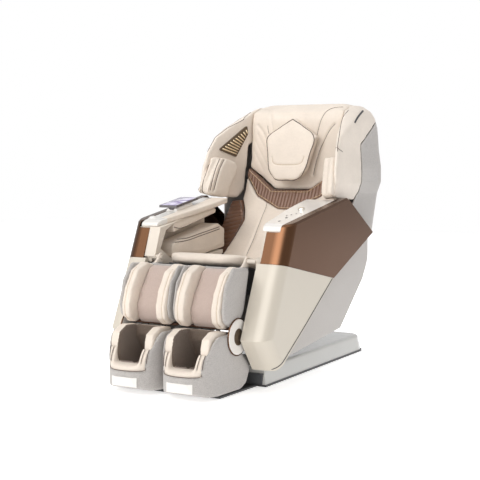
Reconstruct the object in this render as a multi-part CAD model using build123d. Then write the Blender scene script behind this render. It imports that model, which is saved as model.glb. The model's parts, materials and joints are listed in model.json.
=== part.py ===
"""Powered massage chair. Millimetres, +Z up, the sitter faces -Y and the sitter's left is +X.

The origin is on the floor at the centre of the base. Side outlines are lists of (y, z) points.
"""
from build123d import *
import os
from math import cos, hypot, radians, sin

os.makedirs("parts", exist_ok=True)

# ---- clearances ----------------------------------------------------------------------------
RUN = 0.05          # radial running fit of a shaft in its bore
SOFT_GAP = 0.4      # between a soft pad and its neighbour
SEAM = 0.8          # open seam between two covers
SLIDE_GAP = 4.0     # between covers that pass each other

# ---- main widths (half widths, from the middle of the chair) ---------------------------------
ARM_OUTER = 390.0
ARM_INNER = 235.0
ARM_SIDE_DEPTH = 40.0       # thickness of the arm's outer cover behind its front
SEAT_HALF = 200.0
SHELL_HALF = 344.0          # back shell where it passes inside the arms
COVER_WALL = 4.0
ARM_SIDE_IN = ARM_OUTER - ARM_SIDE_DEPTH

# ---- joints ----------------------------------------------------------------------------------
TILT_Y, TILT_Z, TILT_R = -300.0, 200.0, 15.0
RECLINE_Y, RECLINE_Z, RECLINE_R = -100.0, 450.0, 12.0
LEG_Y, LEG_Z, LEG_R = -580.0, 520.0, 10.0
ANKLE_Y, ANKLE_Z, ANKLE_R = -730.0, 233.0, 12.0
FRAME_X, FRAME_THICKNESS = 217.0, 10.0     # side plates of the back frame

# ---- base ------------------------------------------------------------------------------------
BASE_FRONT_Y, BASE_FRONT_HALF = -541.0, 283.0
BASE_REAR_Y, BASE_REAR_HALF = 540.0, 244.0
BASE_REAR_ROUND = 90.0
PAD_THICKNESS = 8.0
PAD_RIM = 5.0
TONGUE_FRONT_Y, TONGUE_HALF = -831.0, 240.0
PLINTH_HEIGHT, PLINTH_TAPER, PLINTH_EDGE = 70.0, 12.0, 16.0
RAIL_X, RAIL_WIDTH, RAIL_HEIGHT = 166.0, 30.0, 24.0
RAIL_FRONT_Y, RAIL_REAR_Y = -500.0, 462.0
POST_THICKNESS, POST_FOOT = 12.0, 120.0
WHEEL_R, WHEEL_WIDTH, WHEEL_Y, AXLE_R = 25.0, 18.0, 440.0, 6.0
WHEEL_LIFT = 1.0


def side_prism(points, x0, x1, corner=0.0):
    """A (y, z) outline swept along X from x0 to x1, with rounded corners."""
    face = Polygon(*points, align=None)
    if corner:
        face = fillet(face.vertices(), corner)
    return extrude(Plane.YZ.offset(x0) * face, amount=x1 - x0, dir=(1, 0, 0))


def front_prism(points, y0, y1, corner=0.0):
    """An (x, z) outline swept along Y from y0 to y1."""
    face = Polygon(*points, align=None)
    if corner:
        face = fillet(face.vertices(), corner)
    return extrude(Plane.XZ.offset(-y0) * face, amount=y1 - y0, dir=(0, 1, 0))


def plan_prism(points, z0, z1, corner=0.0):
    """An (x, y) outline raised from z0 to z1."""
    face = Polygon(*points, align=None)
    if corner:
        face = fillet(face.vertices(), corner)
    return extrude(Plane.XY.offset(z0) * face, amount=z1 - z0, dir=(0, 0, 1))


def box(x0, x1, y0, y1, z0, z1):
    return Pos((x0 + x1) / 2, (y0 + y1) / 2, (z0 + z1) / 2) * Box(x1 - x0, y1 - y0, z1 - z0)


def rod_x(y, z, r, x0, x1):
    return Pos((x0 + x1) / 2, y, z) * Rot(0, 90, 0) * Cylinder(r, x1 - x0)


def both_sides(shape):
    """The shape and its mirror image across the middle plane, as two solids."""
    return Compound(children=[shape, mirror(shape, about=Plane.YZ)])


def symmetric(points):
    """Closes a half outline of (x, z) points by its mirror image."""
    return points + [(-x, z) for x, z in reversed(points) if x > 0]


def height_at(start, end, y):
    """Height at y of the straight line through two (y, z) points."""
    return start[1] + (y - start[0]) * (end[1] - start[1]) / (end[0] - start[0])


def save(name, shape):
    export_step(shape, f"parts/{name}.step")


def save_pair(name, shape):
    """Writes a piece of the sitter's left side and its mirrored twin."""
    save(f"left_{name}", shape)
    save(f"right_{name}", mirror(shape, about=Plane.YZ))


# ==== base ====================================================================================
def base_plan(inset):
    rear = BASE_REAR_Y - inset
    front = BASE_FRONT_Y + inset
    return [(BASE_FRONT_HALF - inset, front), (BASE_REAR_HALF - inset, rear),
            (inset - BASE_REAR_HALF, rear), (inset - BASE_FRONT_HALF, front)]


def base_block(inset, z0, z1, taper=0.0):
    face = Polygon(*base_plan(inset), align=None)
    rear = face.vertices().sort_by(Axis.Y)[-2:]
    face = fillet(rear, BASE_REAR_ROUND - inset)
    return extrude(Plane.XY.offset(z0) * face, amount=z1 - z0, taper=taper)


wheel_inner_x = RAIL_X + RAIL_WIDTH / 2 + 6.0
wheel_z = WHEEL_R + WHEEL_LIFT
pocket_gap = 5.0
wheel_pocket = box(wheel_inner_x - 3, wheel_inner_x + WHEEL_WIDTH + pocket_gap,
                   WHEEL_Y - WHEEL_R - pocket_gap, WHEEL_Y + WHEEL_R + pocket_gap, -1, PAD_THICKNESS + 1)


def floor_pad():
    pad = base_block(0, 0, PAD_THICKNESS)
    tongue = box(-TONGUE_HALF, TONGUE_HALF, TONGUE_FRONT_Y, BASE_FRONT_Y + 1, 0, PAD_THICKNESS)
    return pad + tongue - wheel_pocket - mirror(wheel_pocket, about=Plane.YZ)


INLET_X, INLET_WIDTH, INLET_HEIGHT, INLET_DEPTH = 0.0, 96.0, 34.0, 30.0
INLET_Z = PAD_THICKNESS + 6.0
SWITCH_X, SWITCH_WIDTH, SWITCH_HEIGHT = 28.0, 14.0, 22.0
inlet_rear = BASE_REAR_Y - PAD_RIM + 2.0
switch_z = INLET_Z + INLET_HEIGHT / 2
switch_y = inlet_rear - 3.0


def inlet_block(grow):
    return box(INLET_X - INLET_WIDTH / 2 - grow, INLET_X + INLET_WIDTH / 2 + grow,
               inlet_rear - INLET_DEPTH - grow, inlet_rear + grow,
               INLET_Z - grow, INLET_Z + INLET_HEIGHT + grow)


def plinth_cover():
    top = PAD_THICKNESS + PLINTH_HEIGHT
    outer = base_block(PAD_RIM, PAD_THICKNESS, top, PLINTH_TAPER)
    outer = fillet(outer.edges().group_by(Axis.Z)[-1], PLINTH_EDGE)
    inner = base_block(PAD_RIM + COVER_WALL, PAD_THICKNESS, top - COVER_WALL, PLINTH_TAPER)
    slot_x = RAIL_X - POST_THICKNESS / 2 - 4
    slot = box(slot_x, slot_x + POST_THICKNESS + 8, TILT_Y - POST_FOOT / 2 - 4,
               TILT_Y + POST_FOOT / 2 + 4, top - PLINTH_EDGE, top + 1)
    front = box(-BRACKET_HALF - 1, BRACKET_HALF + 1, BASE_FRONT_Y, BASE_FRONT_Y + PLINTH_EDGE + 14,
                0, PAD_THICKNESS + BRACKET_HEIGHT + 1)
    return outer - inner - slot - mirror(slot, about=Plane.YZ) - front - inlet_block(SOFT_GAP)


BRACKET_HALF, BRACKET_HEIGHT, BRACKET_DEPTH = 262.0, 44.0, 22.0


def base_frame():
    floor = PAD_THICKNESS
    x0 = RAIL_X - RAIL_WIDTH / 2
    rail = box(x0, x0 + RAIL_WIDTH, RAIL_FRONT_Y, RAIL_REAR_Y, floor, floor + RAIL_HEIGHT)
    post_x = RAIL_X - POST_THICKNESS / 2
    boss = TILT_R + 16
    post = side_prism([(TILT_Y - POST_FOOT / 2, floor), (TILT_Y + POST_FOOT / 2, floor),
                       (TILT_Y + boss, TILT_Z), (TILT_Y - boss, TILT_Z)],
                      post_x, post_x + POST_THICKNESS)
    post += rod_x(TILT_Y, TILT_Z, boss, post_x, post_x + POST_THICKNESS)
    axle = rod_x(WHEEL_Y, wheel_z, AXLE_R, x0 + RAIL_WIDTH - 1, wheel_inner_x + WHEEL_WIDTH + 3)
    side = rail + post + axle - rod_x(TILT_Y, TILT_Z, TILT_R + RUN, 0, ARM_OUTER)
    frame = side + mirror(side, about=Plane.YZ)
    for y in (RAIL_FRONT_Y, TILT_Y + POST_FOOT, RAIL_REAR_Y - RAIL_WIDTH):
        frame += box(-x0 - 1, x0 + 1, y, y + RAIL_WIDTH, floor, floor + RAIL_HEIGHT)
    bracket_y = BASE_FRONT_Y + PAD_RIM
    frame += box(-BRACKET_HALF, BRACKET_HALF, bracket_y, bracket_y + BRACKET_DEPTH,
                 floor, floor + BRACKET_HEIGHT)
    for x in (-x0 - RAIL_WIDTH, x0):
        frame += box(x, x + RAIL_WIDTH, bracket_y + BRACKET_DEPTH - 1, RAIL_FRONT_Y + 1,
                     floor, floor + RAIL_HEIGHT)
    return frame


LUG_THICKNESS = 12.0
LUG_GAP = 4.0
lug_x = RAIL_X + POST_THICKNESS / 2 + LUG_GAP


def tilt_shaft():
    end = lug_x + LUG_THICKNESS + 6
    collar = rod_x(TILT_Y, TILT_Z, TILT_R + 6, end, end + 6)
    return rod_x(TILT_Y, TILT_Z, TILT_R, -end - 1, end + 1) + collar + mirror(collar, about=Plane.YZ)


def power_inlet():
    block = inlet_block(0)
    socket_x = INLET_X - 22
    socket = box(socket_x - 14, socket_x + 14, inlet_rear - 16, inlet_rear + 1, switch_z - 10,
                 switch_z + 10)
    pocket = box(SWITCH_X - SWITCH_WIDTH / 2 - 0.5, SWITCH_X + SWITCH_WIDTH / 2 + 0.5,
                 inlet_rear - 16, inlet_rear + 1,
                 switch_z - SWITCH_HEIGHT / 2 - 1.5, switch_z + SWITCH_HEIGHT / 2 + 1.5)
    inlet = block - socket - pocket
    for x in (socket_x - 7, socket_x, socket_x + 7):
        inlet += box(x - 1, x + 1, inlet_rear - 17, inlet_rear - 4, switch_z - 2, switch_z + 2)
    return inlet + rod_x(switch_y - 3, switch_z, SWITCH_PIN_R, SWITCH_X - SWITCH_WIDTH / 2 - 1,
                         SWITCH_X + SWITCH_WIDTH / 2 + 1)


SWITCH_PIN_R = 1.5


def power_switch():
    half = SWITCH_HEIGHT / 2
    y = inlet_rear - 3
    rocker = side_prism([(y - 6, switch_z - half), (y + 4, switch_z - half), (y + 1, switch_z),
                         (y + 4, switch_z + half), (y - 6, switch_z + half)],
                        SWITCH_X - SWITCH_WIDTH / 2, SWITCH_X + SWITCH_WIDTH / 2)
    return rocker - rod_x(switch_y - 3, switch_z, SWITCH_PIN_R + RUN, SWITCH_X - 20, SWITCH_X + 20)


BOX_REAR_Y, BOX_LENGTH, BOX_WIDTH, BOX_HEIGHT = 300.0, 220.0, 120.0, 48.0
PUMP_LENGTH, PUMP_WIDTH, PUMP_HEIGHT = 150.0, 96.0, 46.0


def control_box():
    base = box(-BOX_WIDTH - 6, -6, BOX_REAR_Y - BOX_LENGTH, BOX_REAR_Y, PAD_THICKNESS,
               PAD_THICKNESS + BOX_HEIGHT)
    for i in range(5):
        y = BOX_REAR_Y - 40 - i * 34
        base -= box(-BOX_WIDTH + 10, -26, y, y + 8, PAD_THICKNESS + BOX_HEIGHT - 3,
                    PAD_THICKNESS + BOX_HEIGHT + 1)
    return base


def air_pump():
    z = PAD_THICKNESS + PUMP_HEIGHT / 2
    y = BOX_REAR_Y - PUMP_LENGTH / 2
    body = Pos(10 + PUMP_WIDTH / 2, y, z) * Rot(90, 0, 0) * Cylinder(PUMP_HEIGHT / 2, PUMP_LENGTH)
    feet = box(10, 10 + PUMP_WIDTH, y - PUMP_LENGTH / 3, y + PUMP_LENGTH / 3, PAD_THICKNESS,
               PAD_THICKNESS + 10)
    nozzle = Pos(10 + PUMP_WIDTH / 2, y + PUMP_LENGTH / 2 + 8, z) * Rot(90, 0, 0) * Cylinder(6, 18)
    return body + feet + nozzle


def rear_wheel():
    x1 = wheel_inner_x + WHEEL_WIDTH
    wheel = rod_x(WHEEL_Y, wheel_z, WHEEL_R, wheel_inner_x, x1)
    wheel = fillet(wheel.edges().filter_by(GeomType.CIRCLE), 3)
    return wheel - rod_x(WHEEL_Y, wheel_z, AXLE_R + RUN, wheel_inner_x - 1, x1 + 1)


save("floor_pad", floor_pad())
save("plinth_cover", plinth_cover())
save("base_frame", base_frame())
save("tilt_shaft", tilt_shaft())
save("power_inlet", power_inlet())
save("power_switch", power_switch())
save("control_box", control_box())
save("air_pump", air_pump())
save("rear_wheel_left", rear_wheel())
save("rear_wheel_right", mirror(rear_wheel(), about=Plane.YZ))

# ==== seat ====================================================================================
SEAT_FRONT_Y, SEAT_CREST_Z, SEAT_LIP_Z = -605.0, 544.0, 498.0
SEAT_REAR_Y, SEAT_REAR_Z, SEAT_THICKNESS = -72.0, 462.0, 64.0
SEAT_CORNER = 130.0
PAN_THICKNESS = 6.0
PAN_BRIM = 6.0             # the seat pan reaches this far past the side plates

seat_low_front = (SEAT_FRONT_Y + 45, SEAT_LIP_Z)
seat_low_rear = (SEAT_REAR_Y, SEAT_REAR_Z - SEAT_THICKNESS)


def seat_cushion():
    outline = [(SEAT_FRONT_Y, SEAT_LIP_Z + 6), (SEAT_FRONT_Y, SEAT_CREST_Z - 20),
               (SEAT_FRONT_Y + 20, SEAT_CREST_Z), (SEAT_FRONT_Y + 90, SEAT_CREST_Z - 8),
               (SEAT_REAR_Y - 180, SEAT_REAR_Z), (SEAT_REAR_Y, SEAT_REAR_Z), seat_low_rear, seat_low_front]
    block = side_prism(outline, -SEAT_HALF, SEAT_HALF, 5)
    plan = Polygon((-SEAT_HALF, SEAT_FRONT_Y), (SEAT_HALF, SEAT_FRONT_Y), (SEAT_HALF, 0), (-SEAT_HALF, 0),
                   align=None)
    plan = fillet(plan.vertices().sort_by(Axis.Y)[:2], SEAT_CORNER)
    return block & extrude(plan, amount=2 * SEAT_CREST_Z)


BEAM_WIDTH, BEAM_HEIGHT = 44.0, 34.0
BEAM_FRONT_Y, BEAM_REAR_Y, BEAM_Z = -440.0, -190.0, 372.0
CORE_LOW_FRONT, CORE_LOW_REAR = (-560.0, 492.0), (-140.0, 438.0)
EAR_X, EAR_THICKNESS = 203.0, 10.0


def seat_frame():
    lift = SOFT_GAP
    pan_half = lug_x + LUG_THICKNESS + PAN_BRIM
    pan_front = (seat_low_front[0] + 15, seat_low_front[1] - lift)
    pan_rear = (seat_low_rear[0] - 15, seat_low_rear[1] - lift)
    slope = (seat_low_front[1] - seat_low_rear[1]) / (seat_low_rear[0] - seat_low_front[0])
    pan_front = (pan_front[0], pan_front[1] - 15 * slope)
    pan_rear = (pan_rear[0], pan_rear[1] + 15 * slope)
    pan = side_prism([pan_front, pan_rear, (pan_rear[0], pan_rear[1] - PAN_THICKNESS),
                      (pan_front[0], pan_front[1] - PAN_THICKNESS)], -pan_half, pan_half)
    plate = side_prism([(pan_front[0], pan_front[1] - PAN_THICKNESS + 1),
                        (pan_rear[0], pan_rear[1] - PAN_THICKNESS + 1), (pan_rear[0], 330),
                        (TILT_Y + 40, TILT_Z - 12), (TILT_Y - 40, TILT_Z - 12), (pan_front[0], 420)],
                       lug_x, lug_x + LUG_THICKNESS)
    plate -= rod_x(TILT_Y, TILT_Z, TILT_R + RUN, 0, ARM_OUTER)
    side = plate
    for y in (BEAM_FRONT_Y, BEAM_REAR_Y):
        side += box(lug_x + 1, ARM_SIDE_IN - SLIDE_GAP, y, y + BEAM_WIDTH, BEAM_Z, BEAM_Z + BEAM_HEIGHT)
        riser_top = height_at(CORE_LOW_FRONT, CORE_LOW_REAR, y + BEAM_WIDTH) - SOFT_GAP
        side += box(ARM_INNER + 5, ARM_SIDE_IN - SLIDE_GAP, y, y + BEAM_WIDTH, BEAM_Z + 1, riser_top)
    ear = side_prism([(BEAM_REAR_Y, BEAM_Z), (BEAM_REAR_Y + BEAM_WIDTH, BEAM_Z),
                      (RECLINE_Y + 22, RECLINE_Z), (RECLINE_Y, RECLINE_Z + 22),
                      (RECLINE_Y - 30, RECLINE_Z)],
                     EAR_X, EAR_X + EAR_THICKNESS)
    pin = rod_x(RECLINE_Y, RECLINE_Z, RECLINE_R, EAR_X + 1, EAR_X + EAR_THICKNESS + 18)
    side += ear + pin
    return pan + side + mirror(side, about=Plane.YZ)


# Lower tub behind and under the seat.
TUB_HALF = SHELL_HALF - COVER_WALL - 6.0
TUB_ROUND = 90.0
GAP_LOW, GAP_HIGH = (-619.0, 90.0), (-134.0, 412.0)
TUB_HEEL, TUB_WAIST, TUB_TOP = (51.0, 176.0), (285.0, 380.0), (412.0, 570.0)
BAND_REAR = (278.0, 599.0)
TUB_TUCK = 30.0             # how far the tub reaches in under the arm's covers
PANEL_FRONT_IN = 275.0      # clears the leg beside it
ARM_BOX_REAR_Y = -470.0     # the arm's full depth ends here; behind it the cover is a flat side


def tub_block(inset):
    run = GAP_HIGH[0] - GAP_LOW[0]
    rise = GAP_HIGH[1] - GAP_LOW[1]
    along = hypot(run, rise)
    tuck = (-TUB_TUCK * rise / along, TUB_TUCK * run / along)
    outline = [(GAP_LOW[0] + inset, GAP_LOW[1] + 8 + inset),
               (TUB_HEEL[0] - inset, TUB_HEEL[1] + inset * 1.3),
               (TUB_WAIST[0] - inset * 1.3, TUB_WAIST[1]), (TUB_TOP[0] - inset * 1.3, TUB_TOP[1]),
               (BAND_REAR[0] - 40, TUB_TOP[1] + 18), (GAP_HIGH[0] + 10, GAP_HIGH[1] + 20),
               (GAP_HIGH[0] + tuck[0], GAP_HIGH[1] + tuck[1]), (GAP_LOW[0] + tuck[0], GAP_LOW[1] + tuck[1])]
    half = TUB_HALF - inset
    block = side_prism(outline, -half, half)
    rear = TUB_TOP[0] - inset * 1.3
    plan = Polygon((-half, 2 * TONGUE_FRONT_Y), (half, 2 * TONGUE_FRONT_Y), (half, rear), (-half, rear),
                   align=None)
    plan = fillet(plan.vertices().sort_by(Axis.Y)[-2:], TUB_ROUND - inset)
    return block & extrude(plan, amount=2 * SEAT_CREST_Z)


# the back's frame and carriage swing back through the shell's rear lip
RECLINE_WAY = [(330.0, 560.0), (388.0, 560.0), (388.0, 600.0), (330.0, 600.0)]


def lower_shell():
    opening_top = [(GAP_LOW[0] - 80, GAP_LOW[1] + 8 + COVER_WALL),
                   (GAP_LOW[0] + 30, GAP_LOW[1] + 8 + COVER_WALL),
                   (GAP_HIGH[0], GAP_HIGH[1] - 20), (BAND_REAR[0], TUB_TOP[1] - 30),
                   (TUB_TOP[0] - 20, TUB_TOP[1] + 40),
                   (GAP_LOW[0] - 80, TUB_TOP[1] + 40)]
    hollow = tub_block(COVER_WALL)
    open_face = side_prism(opening_top, COVER_WALL - TUB_HALF, TUB_HALF - COVER_WALL)
    post_way = box(-lug_x - 24, lug_x + 24, TILT_Y - 185, TILT_Y + 185, 0, SEAT_CREST_Z)
    beam_way = box(-TUB_HALF - 1, TUB_HALF + 1, BEAM_FRONT_Y - SOFT_GAP,
                   BEAM_REAR_Y + BEAM_WIDTH + SOFT_GAP,
                   BEAM_Z - SOFT_GAP, SEAT_CREST_Z)
    shell = tub_block(0) - hollow - open_face - post_way - beam_way
    for x0, x1 in ((PANEL_FRONT_IN - SLIDE_GAP, ARM_OUTER), (-ARM_OUTER, SLIDE_GAP - PANEL_FRONT_IN)):
        shell -= box(x0, x1, 2 * TONGUE_FRONT_Y, ARM_BOX_REAR_Y + SLIDE_GAP, 0, SEAT_CREST_Z)
    frame_half = FRAME_X + FRAME_THICKNESS + SLIDE_GAP
    return shell - side_prism(RECLINE_WAY, -frame_half, frame_half)


save("seat_cushion", seat_cushion())
save("seat_frame", seat_frame())
save("lower_shell", lower_shell())

# ==== arms ====================================================================================
BAND_LOW_FRONT, BAND_TOP_FRONT = (-602.0, 516.0), (-538.0, 668.0)
BAND_TOP_REAR, BAND_LOW_REAR = (5.0, 765.0), (-131.0, 421.0)
PANEL_KNEE, PANEL_TOE = (-734.0, 220.0), (-639.0, 90.0)
BAND_FRONT_WIDTH = 100.0    # of the bronze band, seen from the front
ARM_FRONT_IN = ARM_OUTER - BAND_FRONT_WIDTH
ARM_ROUND = 60.0
ARM_REAR_Y = -40.0
BAND_EDGE = 8.0


def arm_tray(points, front_in, round_front, chamfer_top):
    """A cover with an outer side, edge walls and a rounded front, open to the inside."""
    front = box(0, ARM_OUTER, 2 * TONGUE_FRONT_Y, ARM_BOX_REAR_Y, 0, 2 * SEAT_CREST_Z)

    def form(inset):
        outline = Polygon(*points, align=None)
        if inset:
            outline = offset(outline, amount=-inset, kind=Kind.INTERSECTION)
        over = 1 if inset else 0
        side = extrude(Plane.YZ.offset(ARM_SIDE_IN - over) * outline,
                       amount=ARM_SIDE_DEPTH - inset + over, dir=(1, 0, 0))
        whole = extrude(Plane.YZ.offset(front_in + inset) * outline,
                        amount=ARM_OUTER - front_in - 2 * inset, dir=(1, 0, 0))
        return side, whole & front

    outer_side, outer_front = form(0)
    solid = outer_side + outer_front
    lead = solid.edges().filter_by(lambda e: e.center().X > ARM_OUTER - 0.1 and is_front(e, points))
    solid = fillet(lead, round_front)
    if chamfer_top:
        solid = chamfer(top_edge(solid), chamfer_top)
    inner_side, inner_front = form(COVER_WALL)
    cavity = inner_side + inner_front
    cut_lead = cavity.edges().filter_by(
        lambda e: e.center().X > ARM_OUTER - COVER_WALL - 0.1 and is_front(e, points))
    cavity = fillet(cut_lead, round_front - COVER_WALL)
    way = outer_front & box(front_in + COVER_WALL, ARM_SIDE_IN, ARM_BOX_REAR_Y - COVER_WALL - 1,
                            ARM_BOX_REAR_Y + 1, 0, 2 * SEAT_CREST_Z) & prism_between(inner_front, front_in)
    return solid - cavity - way


def prism_between(inner_front, front_in):
    """Opens the rear of the arm's front box, leaving its edge walls."""
    stretched = Pos(0, COVER_WALL + 1, 0) * inner_front
    return inner_front + stretched


FRONT_REACH = 110.0         # a leading edge's middle lies this close to the foremost point


def is_front(edge, points):
    """True for an edge that lies along the leading (foremost) side of the outline."""
    lead_y = min(y for y, z in points)
    tangent = edge.tangent_at(0.5)
    return abs(tangent.X) < 0.1 and abs(tangent.Z) > 0.5 and edge.center().Y < lead_y + FRONT_REACH


def top_edge(solid):
    """The long outer edge along the arm's sloping top."""
    def on_top(e):
        c = e.center()
        return abs(c.Z - height_at(BAND_TOP_FRONT, BAND_TOP_REAR,
                                   c.Y)) < 2 and c.X > ARM_OUTER - 1 and e.length > 200

    return solid.edges().filter_by(on_top)


def arm_band():
    """The bronze cover; its front strip stops under the armrest."""
    tray = arm_tray([BAND_LOW_FRONT, BAND_TOP_FRONT, BAND_TOP_REAR, BAND_REAR, BAND_LOW_REAR],
                    ARM_FRONT_IN, ARM_ROUND, BAND_EDGE)
    drop = REST_THICKNESS + SEAM
    under_rest = [(TONGUE_FRONT_Y, arm_line(TONGUE_FRONT_Y, drop)),
                  (BAND_TOP_REAR[0] - 1, arm_line(0, drop)),
                  (BAND_TOP_REAR[0] - 1, 2 * BAND_TOP_REAR[1]), (TONGUE_FRONT_Y, 2 * BAND_TOP_REAR[1])]
    rear_of_front = [(BAND_TOP_FRONT[0] + FRONT_GAP, 2 * BAND_TOP_FRONT[1]),
                     (BAND_TOP_FRONT[0] + FRONT_GAP, BAND_TOP_FRONT[1]),
                     (BAND_LOW_FRONT[0] + FRONT_GAP, BAND_LOW_FRONT[1]),
                     (BAND_LOW_FRONT[0] + FRONT_GAP, BEAM_Z),
                     (ARM_BOX_REAR_Y + 1, BEAM_Z), (ARM_BOX_REAR_Y + 1, 2 * BAND_TOP_FRONT[1])]
    way_in = side_prism(rear_of_front, 0, ARM_FRONT_IN + COVER_WALL + SEAM)
    return tray - side_prism(under_rest, 0, ARM_SIDE_IN) - way_in - motor_room()


FRONT_GAP = 2.3 * COVER_WALL     # level distance from the band's front to what lies behind it


def motor_room():
    return box(ARM_INNER + 20, CORE_SIDE_IN, MOTOR_FRONT_Y - 3, MOTOR_FRONT_Y + MOTOR_DEPTH + 3,
               CORE_LOW_REAR[1], LEG_Z + MOTOR_RISE + 3)


def arm_panel():
    slope = (BAND_LOW_REAR[1] - BAND_LOW_FRONT[1]) / (BAND_LOW_REAR[0] - BAND_LOW_FRONT[0])
    top_front = (BAND_LOW_FRONT[0] - 2, BAND_LOW_FRONT[1] - SEAM)
    top_rear = (BAND_LOW_REAR[0] - 3, BAND_LOW_REAR[1] - SEAM - 3 * slope)
    return arm_tray([top_front, top_rear, GAP_LOW, PANEL_TOE, PANEL_KNEE], PANEL_FRONT_IN, ARM_ROUND,
                    0) - motor_room()


CORE_FRONT_TOP, CORE_FRONT_LOW = (-548.0, 645.0), (-594.0, 522.0)
CORE_WALL = 12.0
REST_THICKNESS = 24.0
CORE_SIDE_IN = ARM_SIDE_IN - SOFT_GAP - CORE_WALL
CAVITY = [(-550.0, 552.0), (-508.0, 630.0), (-432.0, 662.0), (0.0, 736.0), (0.0, 520.0), (-178.0, 500.0),
          (-470.0, 505.0)]


def arm_line(y, drop):
    """Height of the arm's sloping top at y, less a drop."""
    return height_at(BAND_TOP_FRONT, BAND_TOP_REAR, y) - drop


def arm_core():
    under = REST_THICKNESS + SOFT_GAP
    outline = [CORE_FRONT_LOW, CORE_FRONT_TOP, (CORE_FRONT_TOP[0] + 3,
                                                arm_line(CORE_FRONT_TOP[0] + 3, under)),
               (ARM_REAR_Y, arm_line(ARM_REAR_Y, under)), (ARM_REAR_Y, 500), CORE_LOW_REAR, CORE_LOW_FRONT]
    block = side_prism(outline, ARM_INNER, CORE_SIDE_IN + CORE_WALL)
    behind_band = side_prism([(TONGUE_FRONT_Y, BEAM_Z), (TONGUE_FRONT_Y, BAND_REAR[1] * 2),
                              (BAND_TOP_FRONT[0] + FRONT_GAP, BAND_REAR[1] * 2),
                              (BAND_TOP_FRONT[0] + FRONT_GAP, BAND_TOP_FRONT[1]),
                              (BAND_LOW_FRONT[0] + FRONT_GAP, BAND_LOW_FRONT[1]),
                              (BAND_LOW_FRONT[0] + FRONT_GAP, BEAM_Z)], ARM_FRONT_IN - SEAM, ARM_OUTER)
    over_panel = side_prism([(TONGUE_FRONT_Y, BEAM_Z), (ARM_BOX_REAR_Y + SLIDE_GAP, BEAM_Z),
                             (ARM_BOX_REAR_Y + SLIDE_GAP, band_low(ARM_BOX_REAR_Y) + 2 * COVER_WALL),
                             (BAND_LOW_FRONT[0], BAND_LOW_FRONT[1] + 2 * COVER_WALL),
                             (TONGUE_FRONT_Y, BAND_LOW_FRONT[1] + 2 * COVER_WALL)],
                            PANEL_FRONT_IN - SEAM, ARM_OUTER)
    cavity = side_prism(CAVITY, ARM_INNER - 1, CORE_SIDE_IN)
    shaft_way = rod_x(LEG_Y, LEG_Z, LEG_R + 1, 0, ARM_OUTER)
    return block - behind_band - over_panel - cavity - motor_room() - shaft_way


def band_low(y):
    return height_at(BAND_LOW_FRONT, BAND_LOW_REAR, y)


MOTOR_FRONT_Y, MOTOR_DEPTH, MOTOR_RISE = -584.0, 36.0, 16.0
LEG_LUG_IN, LEG_LUG_THICKNESS = 208.0, 16.0


def leg_motor():
    x0 = ARM_INNER + 23
    gearbox = box(x0, x0 + 46, MOTOR_FRONT_Y, MOTOR_FRONT_Y + MOTOR_DEPTH, LEG_Z - 22, LEG_Z + MOTOR_RISE)
    can = rod_x(MOTOR_FRONT_Y + MOTOR_DEPTH / 2, LEG_Z, 15, x0 + 45, CORE_SIDE_IN - 8)
    return gearbox + can + rod_x(LEG_Y, LEG_Z, LEG_R, LEG_LUG_IN - 4, x0 + 1)


REST_FRONT_Y = -535.0
REST_INNER = [(264.0, REST_FRONT_Y), (248.0, -420.0), (222.0, -265.0), (209.0, -110.0), (207.0, ARM_REAR_Y)]


def armrest():
    outline = [(REST_FRONT_Y, arm_line(REST_FRONT_Y, REST_THICKNESS)),
               (REST_FRONT_Y + 6, arm_line(REST_FRONT_Y, 6)),
               (REST_FRONT_Y + 30, arm_line(REST_FRONT_Y + 30, 0)), (ARM_REAR_Y, arm_line(ARM_REAR_Y, 0)),
               (ARM_REAR_Y, arm_line(ARM_REAR_Y, REST_THICKNESS))]
    plan = REST_INNER + [(ARM_SIDE_IN - SEAM, ARM_REAR_Y), (ARM_SIDE_IN - SEAM, REST_FRONT_Y)]
    return side_prism(outline, SEAT_HALF, ARM_SIDE_IN) & plan_prism(plan, SEAT_CREST_Z, 2 * SEAT_CREST_Z)


PAD_IN_GAP = 4.0
UPPER_PAD = [(-440.0, 612.0), (-440.0, 658.0), (-110.0, 714.0), (-75.0, 705.0), (-91.0, 684.0)]
LOWER_PAD = [(-450.0, 506.0), (-450.0, 560.0), (-425.0, 572.0), (-68.0, 640.0), (-8.0, 612.0),
             (-8.0, 522.0),
             (-178.0, 502.0)]


def arm_pads():
    x0 = ARM_INNER + PAD_IN_GAP
    x1 = CORE_SIDE_IN - SOFT_GAP
    return Compound(children=[side_prism(UPPER_PAD, x0, x1, 10), side_prism(LOWER_PAD, x0, x1, 8)])


save_pair("arm_band", arm_band())
save_pair("arm_panel", arm_panel())
save_pair("arm_core", arm_core())
save_pair("arm_pads", arm_pads())
save("leg_motors", both_sides(leg_motor()))
left_rest = armrest()
# Tablet on the sitter's right arm, control dial on the left one.
DOCK_FRONT_Y, DOCK_REAR_Y, DOCK_LIFT = -330.0, -215.0, 18.0
DOCK_IN, DOCK_OUT = 290.0, 345.0
TABLET_LENGTH, TABLET_WIDTH, TABLET_THICKNESS = 180.0, 96.0, 10.0
TABLET_FRONT_Y, TABLET_IN = -352.0, 285.0
TABLET_PIN_R, TABLET_BARREL_R, TABLET_EAR = 3.0, 6.5, 14.0
REST_SLOPE = Vector(0, BAND_TOP_REAR[0] - BAND_TOP_FRONT[0], BAND_TOP_REAR[1] - BAND_TOP_FRONT[1])
rest_angle = REST_SLOPE.get_angle(Vector(0, 1, 0))
tablet_y = DOCK_FRONT_Y - TABLET_BARREL_R - 1
tablet_z = arm_line(tablet_y, -DOCK_LIFT / 2 - 1)
KNOB_X, KNOB_Y, KNOB_R, KNOB_HEIGHT, STEM_R, STEM_DEPTH = 292.0, -250.0, 15.0, 9.0, 3.0, 12.0


GRIP_X, GRIP_Y, GRIP_R, GRIP_HEIGHT = 326.0, -478.0, 15.0, 9.0


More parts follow.
